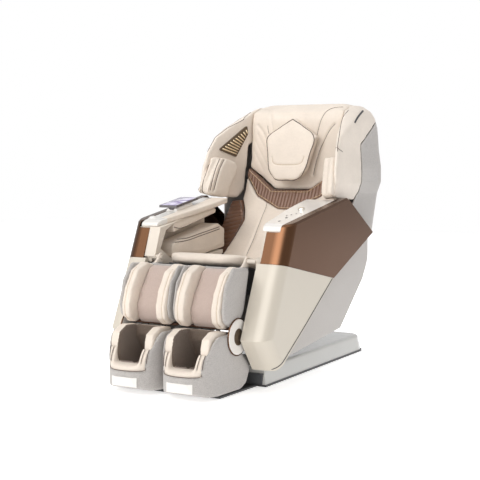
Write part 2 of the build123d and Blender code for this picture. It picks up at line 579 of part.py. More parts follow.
def along_rest(y0, y1, low, high):
    """Side outline of a slab that follows the armrest, from low to high above its top."""
    return [(y0, arm_line(y0, -low)), (y1, arm_line(y1, -low)), (y1, arm_line(y1, -high)),
            (y0, arm_line(y0, -high))]


def tablet_rest():
    """Armrest of the sitter's right side with the tablet's dock, drawn on the left."""
    dock = side_prism(along_rest(DOCK_FRONT_Y, DOCK_REAR_Y, -1, DOCK_LIFT), DOCK_IN, DOCK_OUT)
    ears = None
    for x in (DOCK_IN, DOCK_OUT - TABLET_EAR):
        ear = rod_x(tablet_y, tablet_z, TABLET_BARREL_R, x, x + TABLET_EAR)
        ear += box(x, x + TABLET_EAR, tablet_y - TABLET_BARREL_R, DOCK_FRONT_Y + 1,
                   arm_line(tablet_y, 2), tablet_z)
        ears = ear if ears is None else ears + ear
    pin = rod_x(tablet_y, tablet_z, TABLET_PIN_R, DOCK_IN + 1, DOCK_OUT - 1)
    grip = Pos(GRIP_X, GRIP_Y, arm_line(GRIP_Y, 0)) * Rot(rest_angle, 0, 0) * Cylinder(GRIP_R,
                                                                                       2 * GRIP_HEIGHT)
    return armrest() + dock + ears + pin + grip


def tablet():
    slab = side_prism(along_rest(TABLET_FRONT_Y, TABLET_FRONT_Y + TABLET_LENGTH, DOCK_LIFT + SOFT_GAP,
                                 DOCK_LIFT + SOFT_GAP + TABLET_THICKNESS), TABLET_IN,
                      TABLET_IN + TABLET_WIDTH)
    slab = fillet(slab.edges().filter_by(lambda e: abs(e.tangent_at(0.5).X) < 0.1 and e.length < 12), 4)
    inner, outer = DOCK_IN + TABLET_EAR + SOFT_GAP, DOCK_OUT - TABLET_EAR - SOFT_GAP
    barrel = rod_x(tablet_y, tablet_z, TABLET_BARREL_R, inner, outer)
    barrel += box(inner, outer, tablet_y - TABLET_BARREL_R + 1, tablet_y + TABLET_BARREL_R - 1,
                  tablet_z, arm_line(tablet_y, -DOCK_LIFT - 4))
    return slab + barrel - rod_x(tablet_y, tablet_z, TABLET_PIN_R + RUN, inner - 1, outer + 1)


def knob_place():
    return Pos(KNOB_X, KNOB_Y, arm_line(KNOB_Y, 0)) * Rot(rest_angle, 0, 0)


def control_knob():
    cap = Pos(0, 0, SOFT_GAP + KNOB_HEIGHT / 2) * Cylinder(KNOB_R, KNOB_HEIGHT)
    cap = fillet(cap.edges().group_by(Axis.Z)[-1], 2)
    stem = Pos(0, 0, (SOFT_GAP + 1 - STEM_DEPTH) / 2) * Cylinder(STEM_R, STEM_DEPTH + SOFT_GAP + 1)
    return knob_place() * (cap + stem)


knob_bore = knob_place() * (Pos(0, 0, -STEM_DEPTH / 2) * Cylinder(STEM_R + RUN, STEM_DEPTH + 2))

save("left_armrest", armrest() - knob_bore)
save("right_armrest", mirror(tablet_rest(), about=Plane.YZ))
save("tablet", mirror(tablet(), about=Plane.YZ))
save("control_knob", control_knob())

# Recline drive: a rod whose pin runs in the slot of a crank below the recline pivot.
RECLINE_RANGE = 20.0
CRANK_DROP, CRANK_X, CRANK_THICKNESS = 95.0, 217.0, 10.0
ROD_R, TUBE_R, DRIVE_PIN_R, PIN_GAP = 8.0, 16.6, 5.0, 0.5
TUBE_FRONT_Y, TUBE_REAR_Y = -420.0, -210.0
drive_z = RECLINE_Z - CRANK_DROP
drive_x = CRANK_X + CRANK_THICKNESS / 2
drive_y = RECLINE_Y + CRANK_DROP * sin(radians(RECLINE_RANGE / 2)) / cos(radians(RECLINE_RANGE / 2))


def rod_y(x, z, r, y0, y1):
    return Pos(x, (y0 + y1) / 2, z) * Rot(90, 0, 0) * Cylinder(r, y1 - y0)


def recline_actuator():
    tube = rod_y(drive_x, drive_z, TUBE_R, TUBE_FRONT_Y, TUBE_REAR_Y)
    motor = box(drive_x - 20, drive_x + 20, TUBE_FRONT_Y - 40, TUBE_FRONT_Y + 1, drive_z - 60, drive_z + 16)
    return tube + motor - rod_y(drive_x, drive_z, ROD_R + RUN, TUBE_FRONT_Y + 20, TUBE_REAR_Y + 1)


def actuator_rod():
    cheek_out = CRANK_THICKNESS / 2 + 1.5
    bridge_y = drive_y - 24
    rod = rod_y(drive_x, drive_z, ROD_R, TUBE_FRONT_Y + 90, bridge_y + 1)
    rod += box(drive_x - cheek_out - 4, drive_x + cheek_out + 4, bridge_y - 6, bridge_y + 4, drive_z - 8,
               drive_z + 8)
    for x in (drive_x - cheek_out - 4, drive_x + cheek_out):
        rod += box(x, x + 4, bridge_y, drive_y + 8, drive_z - 8, drive_z + 8)
    return rod + rod_x(drive_y, drive_z, DRIVE_PIN_R, drive_x - cheek_out - 3, drive_x + cheek_out + 3)


save("recline_actuator", recline_actuator())
save("actuator_rod", actuator_rod())

# ==== back ====================================================================================
# Level sections of the hood: height, front, rear, half width, front corner, rear corner.
HOOD = [(588.0, -60.0, 427.0, SHELL_HALF, 14.0, 85.0), (775.0, -52.0, 490.0, SHELL_HALF, 14.0, 85.0),
        (830.0, -46.0, 499.0, SHELL_HALF + 16, 14.0, 85.0), (900.0, -34.0, 505.0, SHELL_HALF + 13, 14.0,
                                                             85.0),
        (980.0, -2.0, 503.0, SHELL_HALF + 2, 16.0, 85.0), (1040.0, 42.0, 500.0, SHELL_HALF - 3, 24.0, 80.0),
        (1085.0, 105.0, 497.0, SHELL_HALF - 8, 60.0, 75.0), (1125.0, 180.0, 490.0, SHELL_HALF - 18, 95.0,
                                                             70.0),
        (1160.0, 245.0, 475.0, SHELL_HALF - 39, 95.0, 60.0), (1185.0, 305.0, 450.0, SHELL_HALF - 74, 65.0,
                                                              50.0),
        (1202.0, 345.0, 412.0, SHELL_HALF - 144, 26.0, 26.0)]
SEAM_LINE = [(173.0, 751.0), (212.0, 787.0), (240.0, 1002.0), (425.0, 1104.0)]
WING_LOW_FRONT_Z = 779.0
WING_FACE_FRONT, WING_FACE_REAR = (349.0, -65.0), (247.0, 260.0)
SHELL_WALL = 5.0


def hood(inset=0.0):
    sections = []
    for z, front, rear, half, front_corner, rear_corner in HOOD:
        face = Polygon((-half + inset, front + inset), (half - inset, front + inset),
                       (half - inset, rear - inset), (-half + inset, rear - inset), align=None)
        by_y = face.vertices().sort_by(Axis.Y)
        face = fillet(by_y[-2:], rear_corner - inset)
        face = fillet(face.vertices().sort_by(Axis.Y)[:2], front_corner - inset)
        lift = -1.0 if inset and z == HOOD[0][0] else 0.0
        sections.append(Plane.XY.offset(z + lift - (inset if z == HOOD[-1][0] else 0)) * face)
    return loft(sections, ruled=True)


def seam_side(front_part):
    """The space in front of the seam (the wings and crown) or behind it (the shell)."""
    half_gap = SEAM / 2
    if front_part:
        line = [(y - half_gap, z + half_gap) for y, z in SEAM_LINE]
        points = [(-200, WING_LOW_FRONT_Z)] + line + [(600, 1150 + half_gap), (600, 1300), (-200, 1300)]
    else:
        line = [(y + half_gap, z - half_gap) for y, z in SEAM_LINE]
        points = line + [(600, 1150 - half_gap), (600, HOOD[0][0]), (150, HOOD[0][0]),
                         (150, SEAM_LINE[0][1] - 30)]
    return side_prism(points, -ARM_OUTER, ARM_OUTER)


def wing_zone():
    """Plan wedge that holds the left wing; its inner face slants in towards the rear."""
    return plan_prism([WING_FACE_FRONT, WING_FACE_REAR, (WING_FACE_REAR[0], 600), (ARM_OUTER, 600),
                       (ARM_OUTER, WING_FACE_FRONT[1])], 600, 1300)


full_hood = hood()
wing = full_hood & seam_side(True) & wing_zone()
save_pair("wing", wing)
save("back_shell", (full_hood & seam_side(False)) - hood(SHELL_WALL)
     - side_prism([(-200, 500), (150 + SHELL_WALL, 500), (150 + SHELL_WALL, 1200), (-200, 1200)],
                  SHELL_WALL - SHELL_HALF, SHELL_HALF - SHELL_WALL))

# Padding, drawn as front outlines cut to the slanting front surface of the back.
CHEVRON_TIP, CHEVRON_BEND, CHEVRON_LOW = (246.0, 896.0), (98.0, 792.0), (35.0, 698.0)
CHEVRON_TIP_LOW, CHEVRON_BEND_LOW = (246.0, 854.0), (169.0, 759.0)
LOWER_FACE = [(-58.0, 468.0), (25.0, 560.0), (92.0, 650.0), (134.0, 700.0), (172.0, 780.0), (208.0, 880.0)]
UPPER_FACE = [(212.0, 780.0), (228.0, 836.0), (247.0, 1120.0), (262.0, 1165.0), (300.0, 1250.0)]
CUSHION_DEPTH = 48.0
CUSHION_GAP = 1.0


def slab(line, depth):
    """Side outline of padding of one depth behind a front line."""
    return side_prism(line + [(y + depth, z) for y, z in reversed(line)], -ARM_OUTER, ARM_OUTER)


def padded_front(half_outline, line, depth):
    return front_prism(symmetric(half_outline), -200, 600) & slab(line, depth)


def lowered(point, drop):
    return (point[0], point[1] - drop)


BOLSTER_HALF = (243.0, 198.0, 246.0)      # lower back cushion at its foot, waist and shoulder
LUMBAR_IN = [half + SOFT_GAP for half in BOLSTER_HALF]
lower_back = padded_front(
    [(0, 468), (BOLSTER_HALF[0], 468), (BOLSTER_HALF[1], 644), (BOLSTER_HALF[2], 741),
     (246, CHEVRON_TIP_LOW[1] - 8), lowered(CHEVRON_BEND_LOW, CUSHION_GAP),
     lowered(CHEVRON_LOW, CUSHION_GAP), (0, CHEVRON_LOW[1] - CUSHION_GAP)], LOWER_FACE, CUSHION_DEPTH)
chevron = padded_front([(0, CHEVRON_LOW[1]), CHEVRON_LOW, CHEVRON_BEND_LOW, CHEVRON_TIP_LOW, CHEVRON_TIP,
                        CHEVRON_BEND, (0, CHEVRON_BEND[1])],
                       [(126.0, 690.0), (180.0, 790.0), (216.0, 900.0)], CUSHION_DEPTH - 8)
lumbar = front_prism([(LUMBAR_IN[0], 474), (LUMBAR_IN[1], 644), (LUMBAR_IN[2], 741),
                      (300, 735), (318, 560), (296, 474)], -200, 600)
lumbar = lumbar & slab([(-20.0, 470.0), (60.0, 600.0), (150.0, 745.0)], 30)
upper_half = [(0, CHEVRON_BEND[1] + CUSHION_GAP), (CHEVRON_BEND[0], CHEVRON_BEND[1] + CUSHION_GAP),
              (WING_FACE_REAR[0] - SOFT_GAP, CHEVRON_TIP[1] + 2 * CUSHION_GAP),
              (WING_FACE_REAR[0] - SOFT_GAP, 1300), (0, 1300)]
upper_slab = side_prism(UPPER_FACE + [(520, 1250), (520, 1150 + SEAM), (430, 1110 + SEAM), (340, 1110),
                                      (300, 1075),
                                      (276, 836), (258, 780)], -ARM_OUTER, ARM_OUTER)
crown_zone = side_prism([(100, 700), (100, 1300), (600, 1300), (600, 1152), (424, 1106), (300, 1036),
                         (300, 700)],
                        -ARM_OUTER, ARM_OUTER)
upper_back = front_prism(symmetric(upper_half), -200, 600) & upper_slab & crown_zone & full_hood

save("lower_back_cushion", lower_back)
save("chevron_trim", chevron)
save("lumbar_trims", both_sides(lumbar))

# Shoulder airbags and speaker grilles lie against the wings' slanting inner faces.
AIRBAG_THICKNESS = 26.0
LOBE = [(-58.0, 778.0), (-52.0, 806.0), (22.0, 936.0), (42.0, 944.0), (116.0, 922.0), (126.0, 900.0),
        (122.0, 862.0), (62.0, 762.0), (40.0, 756.0)]
LOBE_STEP = (-22.0, 4.0)    # the outer lobe lies this much further forward and up
GRILLE = [(50.0, 982.0), (232.0, 1100.0), (238.0, 1060.0), (160.0, 948.0)]
GRILLE_THICKNESS = 8.0
wing_slant = Vector(WING_FACE_REAR[0] - WING_FACE_FRONT[0], WING_FACE_REAR[1] - WING_FACE_FRONT[1], 0)
slant_angle = wing_slant.get_angle(Vector(0, 1, 0))


def against_wing(points, gap, thickness, corner):
    """A side outline laid parallel to the wing's inner face."""
    flat = side_prism([(y - WING_FACE_FRONT[1], z) for y, z in points], -gap - thickness, -gap, corner)
    return Pos(WING_FACE_FRONT[0], WING_FACE_FRONT[1], 0) * Rot(0, 0, slant_angle) * flat


stepped_lobe = [(y + LOBE_STEP[0], z + LOBE_STEP[1]) for y, z in LOBE]
outer_lobe = against_wing(stepped_lobe, SOFT_GAP, AIRBAG_THICKNESS, 8)
inner_lobe = against_wing(LOBE, AIRBAG_THICKNESS + 2 * SOFT_GAP, AIRBAG_THICKNESS, 8)
save_pair("shoulder_airbag", Compound(children=[outer_lobe, inner_lobe]))
save("speaker_grilles", both_sides(against_wing(GRILLE, SOFT_GAP, GRILLE_THICKNESS, 6)))

# Head pillow; a sleeve at its top edge turns on a pin across a recess of the head cushion.
PILLOW_TOP_Y, PILLOW_TOP_Z, PILLOW_LOW_Y, PILLOW_LOW_Z = 246.0, 1128.0, 174.0, 836.0
PILLOW_HALF, PILLOW_SHOULDER_Z, PILLOW_WAIST, PILLOW_WAIST_Z, PILLOW_FOOT = 134.0, 1040.0, 98.0, 880.0, 56.0
PILLOW_THICKNESS = 36.0
SLEEVE_R, SLEEVE_HALF, HINGE_PIN_R, HINGE_PIN_HALF = 6.0, 18.0, 3.0, 26.0
hinge_y, hinge_z = PILLOW_TOP_Y, PILLOW_TOP_Z - 2


def head_pillow():
    outline = symmetric([(0, PILLOW_TOP_Z), (PILLOW_HALF, PILLOW_SHOULDER_Z),
                         (PILLOW_WAIST, PILLOW_WAIST_Z),
                         (PILLOW_FOOT, PILLOW_LOW_Z), (0, PILLOW_LOW_Z)])
    line = [(PILLOW_TOP_Y, PILLOW_TOP_Z), (PILLOW_LOW_Y, PILLOW_LOW_Z),
            (PILLOW_LOW_Y - PILLOW_THICKNESS, PILLOW_LOW_Z), (PILLOW_TOP_Y - PILLOW_THICKNESS,
                                                              PILLOW_TOP_Z)]
    pillow = front_prism(outline, -200, 600) & side_prism(line, -ARM_OUTER, ARM_OUTER)
    pillow += rod_x(hinge_y, hinge_z, SLEEVE_R, -SLEEVE_HALF, SLEEVE_HALF)
    pillow += box(-SLEEVE_HALF, SLEEVE_HALF, hinge_y - 14, hinge_y, hinge_z - SLEEVE_R, hinge_z)
    return pillow - rod_x(hinge_y, hinge_z, HINGE_PIN_R + RUN, -PILLOW_HALF, PILLOW_HALF)


sleeve_room = box(-SLEEVE_HALF - SOFT_GAP, SLEEVE_HALF + SOFT_GAP, hinge_y - 20, hinge_y + SLEEVE_R + 2,
                  hinge_z - SLEEVE_R - 2, hinge_z + SLEEVE_R + 2)
hinge_pin = rod_x(hinge_y, hinge_z, HINGE_PIN_R, -HINGE_PIN_HALF, HINGE_PIN_HALF)
save("head_pillow", head_pillow())

# Frame, guide rails and massage carriage between the padding and the shell.
RAIL_LOW, RAIL_HIGH = (234.0, 560.0), (350.0, 1050.0)
GUIDE_X, GUIDE_THICKNESS, GUIDE_HALF_WIDTH, SHOE_R, SHOE_GAP = 100.0, 12.0, 10.0, 5.0, 0.2
CARRIAGE_PARK, CARRIAGE_HALF = 90.0, 50.0
CHEEK_THICKNESS, CHEEK_HALF_DEPTH = 12.0, 34.0
KNEAD_R, DISC_R, DISC_OFFSET, DISC_WIDTH, DISC_X = 8.0, 24.0, 8.0, 18.0, 48.0
CRANK_HALF = 11.0

rail_length = hypot(RAIL_HIGH[0] - RAIL_LOW[0], RAIL_HIGH[1] - RAIL_LOW[1])
rail_dir = ((RAIL_HIGH[0] - RAIL_LOW[0]) / rail_length, (RAIL_HIGH[1] - RAIL_LOW[1]) / rail_length)


def beside_rail(along, across):
    """A (y, z) point at a distance up the rail line and a distance behind it."""
    return (RAIL_LOW[0] + rail_dir[0] * along + rail_dir[1] * across,
            RAIL_LOW[1] + rail_dir[1] * along - rail_dir[0] * across)


def rail_strip(s0, s1, a0, a1, x0, x1):
    return side_prism([beside_rail(s0, a0), beside_rail(s1, a0), beside_rail(s1, a1),
                       beside_rail(s0, a1)], x0, x1)


def back_frame():
    behind_cushion = [(y + CUSHION_DEPTH + SOFT_GAP, z) for y, z in LOWER_FACE[1:-1]]
    plate = side_prism([(RECLINE_Y, RECLINE_Z - 20), (55, RECLINE_Z - 24), (196, 470),
                        (RAIL_LOW[0] + 10, 585),
                        (RAIL_HIGH[0] + 12, RAIL_HIGH[1]), (RAIL_HIGH[0] - 24, RAIL_HIGH[1]), (292, 900),
                        (284, 874), (262, 871)] + behind_cushion[::-1] + [(10, 464), (RECLINE_Y, 462)],
                       FRAME_X, FRAME_X + FRAME_THICKNESS)
    plate += rod_x(RECLINE_Y, RECLINE_Z, RECLINE_R + 10, FRAME_X, FRAME_X + FRAME_THICKNESS)
    lean = RECLINE_RANGE / 2
    along = (sin(radians(lean)), -cos(radians(lean)))
    side = (-along[1], along[0])
    slot_reach = CRANK_DROP / cos(radians(lean))

    def crank_point(down, across):
        return (RECLINE_Y + along[0] * down + side[0] * across,
                RECLINE_Z + along[1] * down + side[1] * across)

    tip = slot_reach + DRIVE_PIN_R + 8
    plate += side_prism([crank_point(0, -CRANK_HALF), crank_point(tip, -CRANK_HALF),
                         crank_point(tip, CRANK_HALF),
                         crank_point(0, CRANK_HALF)], CRANK_X, CRANK_X + CRANK_THICKNESS)
    slot_half = DRIVE_PIN_R + PIN_GAP
    plate -= side_prism([crank_point(CRANK_DROP - slot_half - 1, -slot_half),
                         crank_point(slot_reach + slot_half, -slot_half),
                         crank_point(slot_reach + slot_half, slot_half),
                         crank_point(CRANK_DROP - slot_half - 1, slot_half)], FRAME_X - 1,
                        FRAME_X + 2 * FRAME_THICKNESS)
    bore = rod_x(RECLINE_Y, RECLINE_Z, RECLINE_R + RUN, FRAME_X - 1, FRAME_X + 2 * FRAME_THICKNESS)
    guide = rail_strip(0, rail_length, -GUIDE_HALF_WIDTH, GUIDE_HALF_WIDTH, GUIDE_X,
                       GUIDE_X + GUIDE_THICKNESS)
    slot = SHOE_R + SHOE_GAP
    guide -= rail_strip(18, rail_length - 18, -slot, slot, GUIDE_X - 1, GUIDE_X + GUIDE_THICKNESS - 3)
    half = plate - bore + guide
    frame = half + mirror(half, about=Plane.YZ)
    for s in (0, rail_length - 16):
        frame += rail_strip(s, s + 16, -GUIDE_HALF_WIDTH, GUIDE_HALF_WIDTH, -FRAME_X - 1, FRAME_X + 1)
    return frame


def massage_carriage():
    s0, s1 = CARRIAGE_PARK - CARRIAGE_HALF, CARRIAGE_PARK + CARRIAGE_HALF
    x1 = GUIDE_X - 3
    x0 = x1 - CHEEK_THICKNESS
    cheek = rail_strip(s0, s1, -CHEEK_HALF_DEPTH, CHEEK_HALF_DEPTH, x0, x1)
    centre = beside_rail(CARRIAGE_PARK, 0)
    for s in (s0 + 12, s1 - 12):
        y, z = beside_rail(s, 0)
        cheek += rod_x(y, z, SHOE_R, x1 - 1, GUIDE_X + GUIDE_THICKNESS - 4)
    cheek -= rod_x(centre[0], centre[1], KNEAD_R + RUN, x0 - 1, x1 + 1)
    carriage = cheek + mirror(cheek, about=Plane.YZ)
    for s, depth in ((s0, 12.0), (s1 - 12.0, 12.0)):
        carriage += rail_strip(s, s + depth, 4, CHEEK_HALF_DEPTH, -x0 - 1, x0 + 1)
    motor_low = s1 + 1
    return carriage + rail_strip(s1 - 1, motor_low + 46, -20, CHEEK_HALF_DEPTH, -60, 60)


def kneading_rollers():
    y, z = beside_rail(CARRIAGE_PARK, 0)
    shaft = rod_x(y, z, KNEAD_R, 1 - GUIDE_X, GUIDE_X - 1)
    for x in (-DISC_X, DISC_X):
        disc = rod_x(y - DISC_OFFSET, z, DISC_R, x - DISC_WIDTH / 2, x + DISC_WIDTH / 2)
        shaft += fillet(disc.edges().filter_by(GeomType.CIRCLE), 5)
    return shaft


def carriage_way():
    """Room behind the head cushion for the carriage as it climbs the rails."""
    reach = CHEEK_HALF_DEPTH + SLIDE_GAP / 2
    return rail_strip(0, rail_length, -reach, reach, -GUIDE_X, GUIDE_X)


save("upper_back_cushion", upper_back - sleeve_room - carriage_way() + hinge_pin)
save("back_frame", back_frame())
save("massage_carriage", massage_carriage())
save("kneading_rollers", kneading_rollers())

# ==== legs (drawn for the sitter's left leg) ====================================================
UNIT_IN, UNIT_OUT = 6.0, 258.0
CALF_WALL_IN, CALF_WALL_OUT, CALF_REAR_WALL = 12.0, 18.0, 16.0
CALF_SIDE = [(-628.0, 496.0), (-742.0, 506.0), (-800.0, 440.0), (-822.0, 345.0), (-814.0, 300.0),
             (-775.0, 276.0), (-700.0, 286.0), (-670.0, 330.0)]
CALF_REAR_IN = [(-628.0 - CALF_REAR_WALL, 700.0), (-644.0, 496.0), (-686.0, 330.0), (-716.0, 270.0),
                (-716.0, 200.0)]
BLOCK_CENTRE, BLOCK_HALF = 80.0, 16.0
GUIDE_ROD_X, GUIDE_ROD_R, GUIDE_ROD_LENGTH, GUIDE_ROD_SET = 42.0, 9.0, 195.0, -14.0
EXTEND_TRAVEL = 90.0
CALF_AXIS = (-0.33, -0.944)
UNIT_MID = (UNIT_IN + UNIT_OUT) / 2
TROUGH_HALF = 63.0
SIDE_PAD = [(-647.0, 494.0), (-704.0, 508.0), (-768.0, 480.0), (-814.0, 408.0), (-832.0, 345.0),
            (-826.0, 296.0),
            (-786.0, 266.0), (-728.0, 280.0), (-690.0, 330.0)]
CENTRE_PAD = [(-664.0, 494.0), (-700.0, 484.0), (-758.0, 404.0), (-786.0, 340.0), (-776.0, 288.0),
              (-752.0, 266.0),
              (-744.0, 280.0), (-740.0, 332.0), (-700.0, 425.0)]


def beside_calf(along, across):
    """A (y, z) point at a distance up from the ankle along the calf and a distance behind that line."""
    return (ANKLE_Y - CALF_AXIS[0] * along - CALF_AXIS[1] * across,
            ANKLE_Z - CALF_AXIS[1] * along + CALF_AXIS[0] * across)


def calf_strip(s0, s1, a0, a1, x0, x1):
    return side_prism([beside_calf(s0, a0), beside_calf(s1, a0), beside_calf(s1, a1),
                       beside_calf(s0, a1)], x0, x1)


def guide_rod(x, r, s0, s1):
    low, high = beside_calf(s0, GUIDE_ROD_SET), beside_calf(s1, GUIDE_ROD_SET)
    lean = Vector(0, high[0] - low[0], high[1] - low[1]).get_angle(Vector(0, 0, 1))
    return Pos(x, (low[0] + high[0]) / 2, (low[1] + high[1]) / 2) * Rot(-lean, 0, 0) * Cylinder(r, s1 - s0)


def calf_shell():
    block = side_prism(CALF_SIDE, UNIT_IN, UNIT_OUT, 10)
    room = side_prism(CALF_REAR_IN + [(-1000, 200), (-1000, 700)], UNIT_IN + CALF_WALL_IN,
                      UNIT_OUT - CALF_WALL_OUT)
    shell = block - room
    bearing = calf_strip(BLOCK_CENTRE - BLOCK_HALF, BLOCK_CENTRE + BLOCK_HALF, GUIDE_ROD_SET - BLOCK_HALF,
                         44,
                         UNIT_MID - TROUGH_HALF + 2, UNIT_MID + TROUGH_HALF - 2)
    shell += bearing & side_prism([(-1000, 0), (-1000, 600), (-640, 600), (-686, 330), (-704, 290),
                                   (-704, 0)], 0, 300)
    lug = rod_x(LEG_Y, LEG_Z, LEG_R + 9, LEG_LUG_IN, LEG_LUG_IN + LEG_LUG_THICKNESS)
    lug += side_prism([(LEG_Y - 19, LEG_Z), (LEG_Y + 19, LEG_Z), (LEG_Y - 12, 448), (-650, 395),
                       (-634, 494)],
                      LEG_LUG_IN, LEG_LUG_IN + LEG_LUG_THICKNESS)
    shell += lug
    for x in (UNIT_MID - GUIDE_ROD_X, UNIT_MID + GUIDE_ROD_X):
        shell -= guide_rod(x, GUIDE_ROD_R + RUN, BLOCK_CENTRE - 3 * BLOCK_HALF,
                           BLOCK_CENTRE + 3 * BLOCK_HALF)
    return shell - rod_x(LEG_Y, LEG_Z, LEG_R + RUN, 0, ARM_OUTER)


def calf_side_pads():
    inner = side_prism(SIDE_PAD, UNIT_IN + CALF_WALL_IN + SOFT_GAP, UNIT_MID - TROUGH_HALF - SOFT_GAP, 10)
    outer = side_prism(SIDE_PAD, UNIT_MID + TROUGH_HALF + SOFT_GAP, UNIT_OUT - CALF_WALL_OUT - SOFT_GAP, 10)
    return Compound(children=[inner, outer])


def calf_centre_pad():
    return side_prism(CENTRE_PAD, UNIT_MID - TROUGH_HALF + SOFT_GAP, UNIT_MID + TROUGH_HALF - SOFT_GAP)


PIN_END = 12.0              # ankle pin's reach into each side of the foot shell
FOOT_WALL = 22.0
TUBE_HALF = (UNIT_OUT - UNIT_IN) / 2 - FOOT_WALL - 3


def ankle_slide():
    tube = rod_x(ANKLE_Y, ANKLE_Z, ANKLE_R + 4, UNIT_MID - TUBE_HALF, UNIT_MID + TUBE_HALF)
    tube += rod_x(ANKLE_Y, ANKLE_Z, ANKLE_R, UNIT_IN + FOOT_WALL - PIN_END, UNIT_OUT - FOOT_WALL + PIN_END)
    for x in (UNIT_MID - GUIDE_ROD_X, UNIT_MID + GUIDE_ROD_X):
        tube += guide_rod(x, GUIDE_ROD_R, 0, GUIDE_ROD_LENGTH)
    return tube


FOOT_SIDE = [(-712.0, 256.0), (-748.0, 256.0), (-800.0, 246.0), (-850.0, 250.0), (-888.0, 226.0),
             (-930.0, 165.0),
             (-966.0, 95.0), (-955.0, 34.0), (-910.0, 15.0), (-690.0, 15.0), (-648.0, 34.0), (-624.0, 84.0),
             (-634.0, 118.0), (-700.0, 178.0)]
FOOT_ROUND = 122.0
GATE_HALF = 61.0            # the well is open at the front above its lip
GATE = [(-1000.0, 112.0), (-900.0, 124.0), (-885.0, 300.0), (-1000.0, 300.0)]
WELL = [(-912.0, 300.0), (-910.0, 150.0), (-905.0, 88.0), (-690.0, 52.0), (-655.0, 72.0), (-660.0, 112.0),
        (-704.0, 150.0), (-704.0, 300.0)]
LINER_WALL = 40.0
ROLLER_Y, ROLLER_Z, ROLLER_R, ROLLER_HALF, ROLLER_PIN_R = -800.0, 50.0, 16.0, 55.0, 5.0
CAP_THICKNESS = 3.0


def foot_plan():
    front = FOOT_SIDE[6][0]
    face = Polygon((UNIT_IN, front), (UNIT_OUT, front), (UNIT_OUT, 0), (UNIT_IN, 0), align=None)
    face = fillet(face.vertices().sort_by(Axis.Y)[:2], FOOT_ROUND)
    return extrude(face, amount=600, dir=(0, 0, 1))


def foot_form():
    return side_prism(FOOT_SIDE, UNIT_IN, UNIT_OUT, 8) & foot_plan()


def well():
    return side_prism(WELL, UNIT_IN + FOOT_WALL, UNIT_OUT - FOOT_WALL)


def roller_room(grow):
    return box(UNIT_MID - ROLLER_HALF - grow, UNIT_MID + ROLLER_HALF + grow, ROLLER_Y - ROLLER_R - grow,
               ROLLER_Y + ROLLER_R + grow, ROLLER_Z - ROLLER_R - grow, 200)


def gate():
    return side_prism(GATE, UNIT_MID - GATE_HALF, UNIT_MID + GATE_HALF)


def foot_shell():
    shell = foot_form() - well() - gate() - roller_room(2)
    return (shell - rod_x(ANKLE_Y, ANKLE_Z, ANKLE_R + RUN, UNIT_IN + FOOT_WALL - PIN_END - 1,
                          UNIT_OUT - FOOT_WALL + PIN_END + 1)
            - rod_x(ROLLER_Y, ROLLER_Z, ROLLER_PIN_R + RUN, UNIT_MID - ROLLER_HALF - 12,
                    UNIT_MID + ROLLER_HALF + 12))


LINER_OUT = [(-909.0, 152.0), (-904.0, 89.0), (-690.0, 53.0), (-656.0, 73.0), (-661.0, 110.0),
             (-708.0, 150.0),
             (-752.0, 205.0), (-770.0, 258.0), (-848.0, 264.0), (-896.0, 240.0), (-908.0, 200.0)]
LINER_IN = [(-960.0, 330.0), (-960.0, 122.0), (-900.0, 118.0), (-700.0, 80.0), (-690.0, 100.0),
            (-735.0, 150.0),
            (-778.0, 214.0), (-785.0, 330.0)]


def foot_liner():
    x0, x1 = UNIT_IN + FOOT_WALL + SOFT_GAP, UNIT_OUT - FOOT_WALL - SOFT_GAP
    block = side_prism(LINER_OUT, x0, x1)
    room = side_prism(LINER_IN, x0 + LINER_WALL, x1 - LINER_WALL)
    return block - room - gate() - roller_room(3) - rod_x(ANKLE_Y, ANKLE_Z, ANKLE_R + 6, 0, ARM_OUTER)


def foot_roller():
    roller = rod_x(ROLLER_Y, ROLLER_Z, ROLLER_R, UNIT_MID - ROLLER_HALF, UNIT_MID + ROLLER_HALF)
    return roller + rod_x(ROLLER_Y, ROLLER_Z, ROLLER_PIN_R, UNIT_MID - ROLLER_HALF - 11,
                          UNIT_MID + ROLLER_HALF + 11)


def toe_cap():
    grown = Pos(0, -CAP_THICKNESS, 0) * foot_form()
    return (grown - foot_form()) & box(UNIT_MID - 76, UNIT_MID + 76, -1100, FOOT_SIDE[7][0], 26, 72)


DISC_RING_R, DISC_CENTRE_R, DISC_DEPTH = 71.0, 35.0, 7.5


def pivot_disc():
    x0 = UNIT_OUT + SOFT_GAP
    ring = rod_x(ANKLE_Y, ANKLE_Z, DISC_RING_R, x0, x0 + DISC_DEPTH)
    ring = fillet(ring.edges().filter_by(GeomType.CIRCLE).sort_by(Axis.X)[-1:], 3)
    return ring - rod_x(ANKLE_Y, ANKLE_Z, DISC_CENTRE_R, x0 + DISC_DEPTH - 3, x0 + DISC_DEPTH + 1)


for node, make in (("calf_shell", calf_shell), ("calf_side_pads", calf_side_pads),
                   ("calf_centre_pad", calf_centre_pad),
                   ("ankle_slide", ankle_slide), ("foot_shell", foot_shell), ("foot_liner", foot_liner),
                   ("foot_roller", foot_roller), ("toe_cap", toe_cap), ("pivot_disc", pivot_disc)):
    save_pair(node, make())
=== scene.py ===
import json

import bmesh
import bpy
import numpy as np
from math import cos, pi, radians, sin
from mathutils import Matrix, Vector
from mathutils.bvhtree import BVHTree


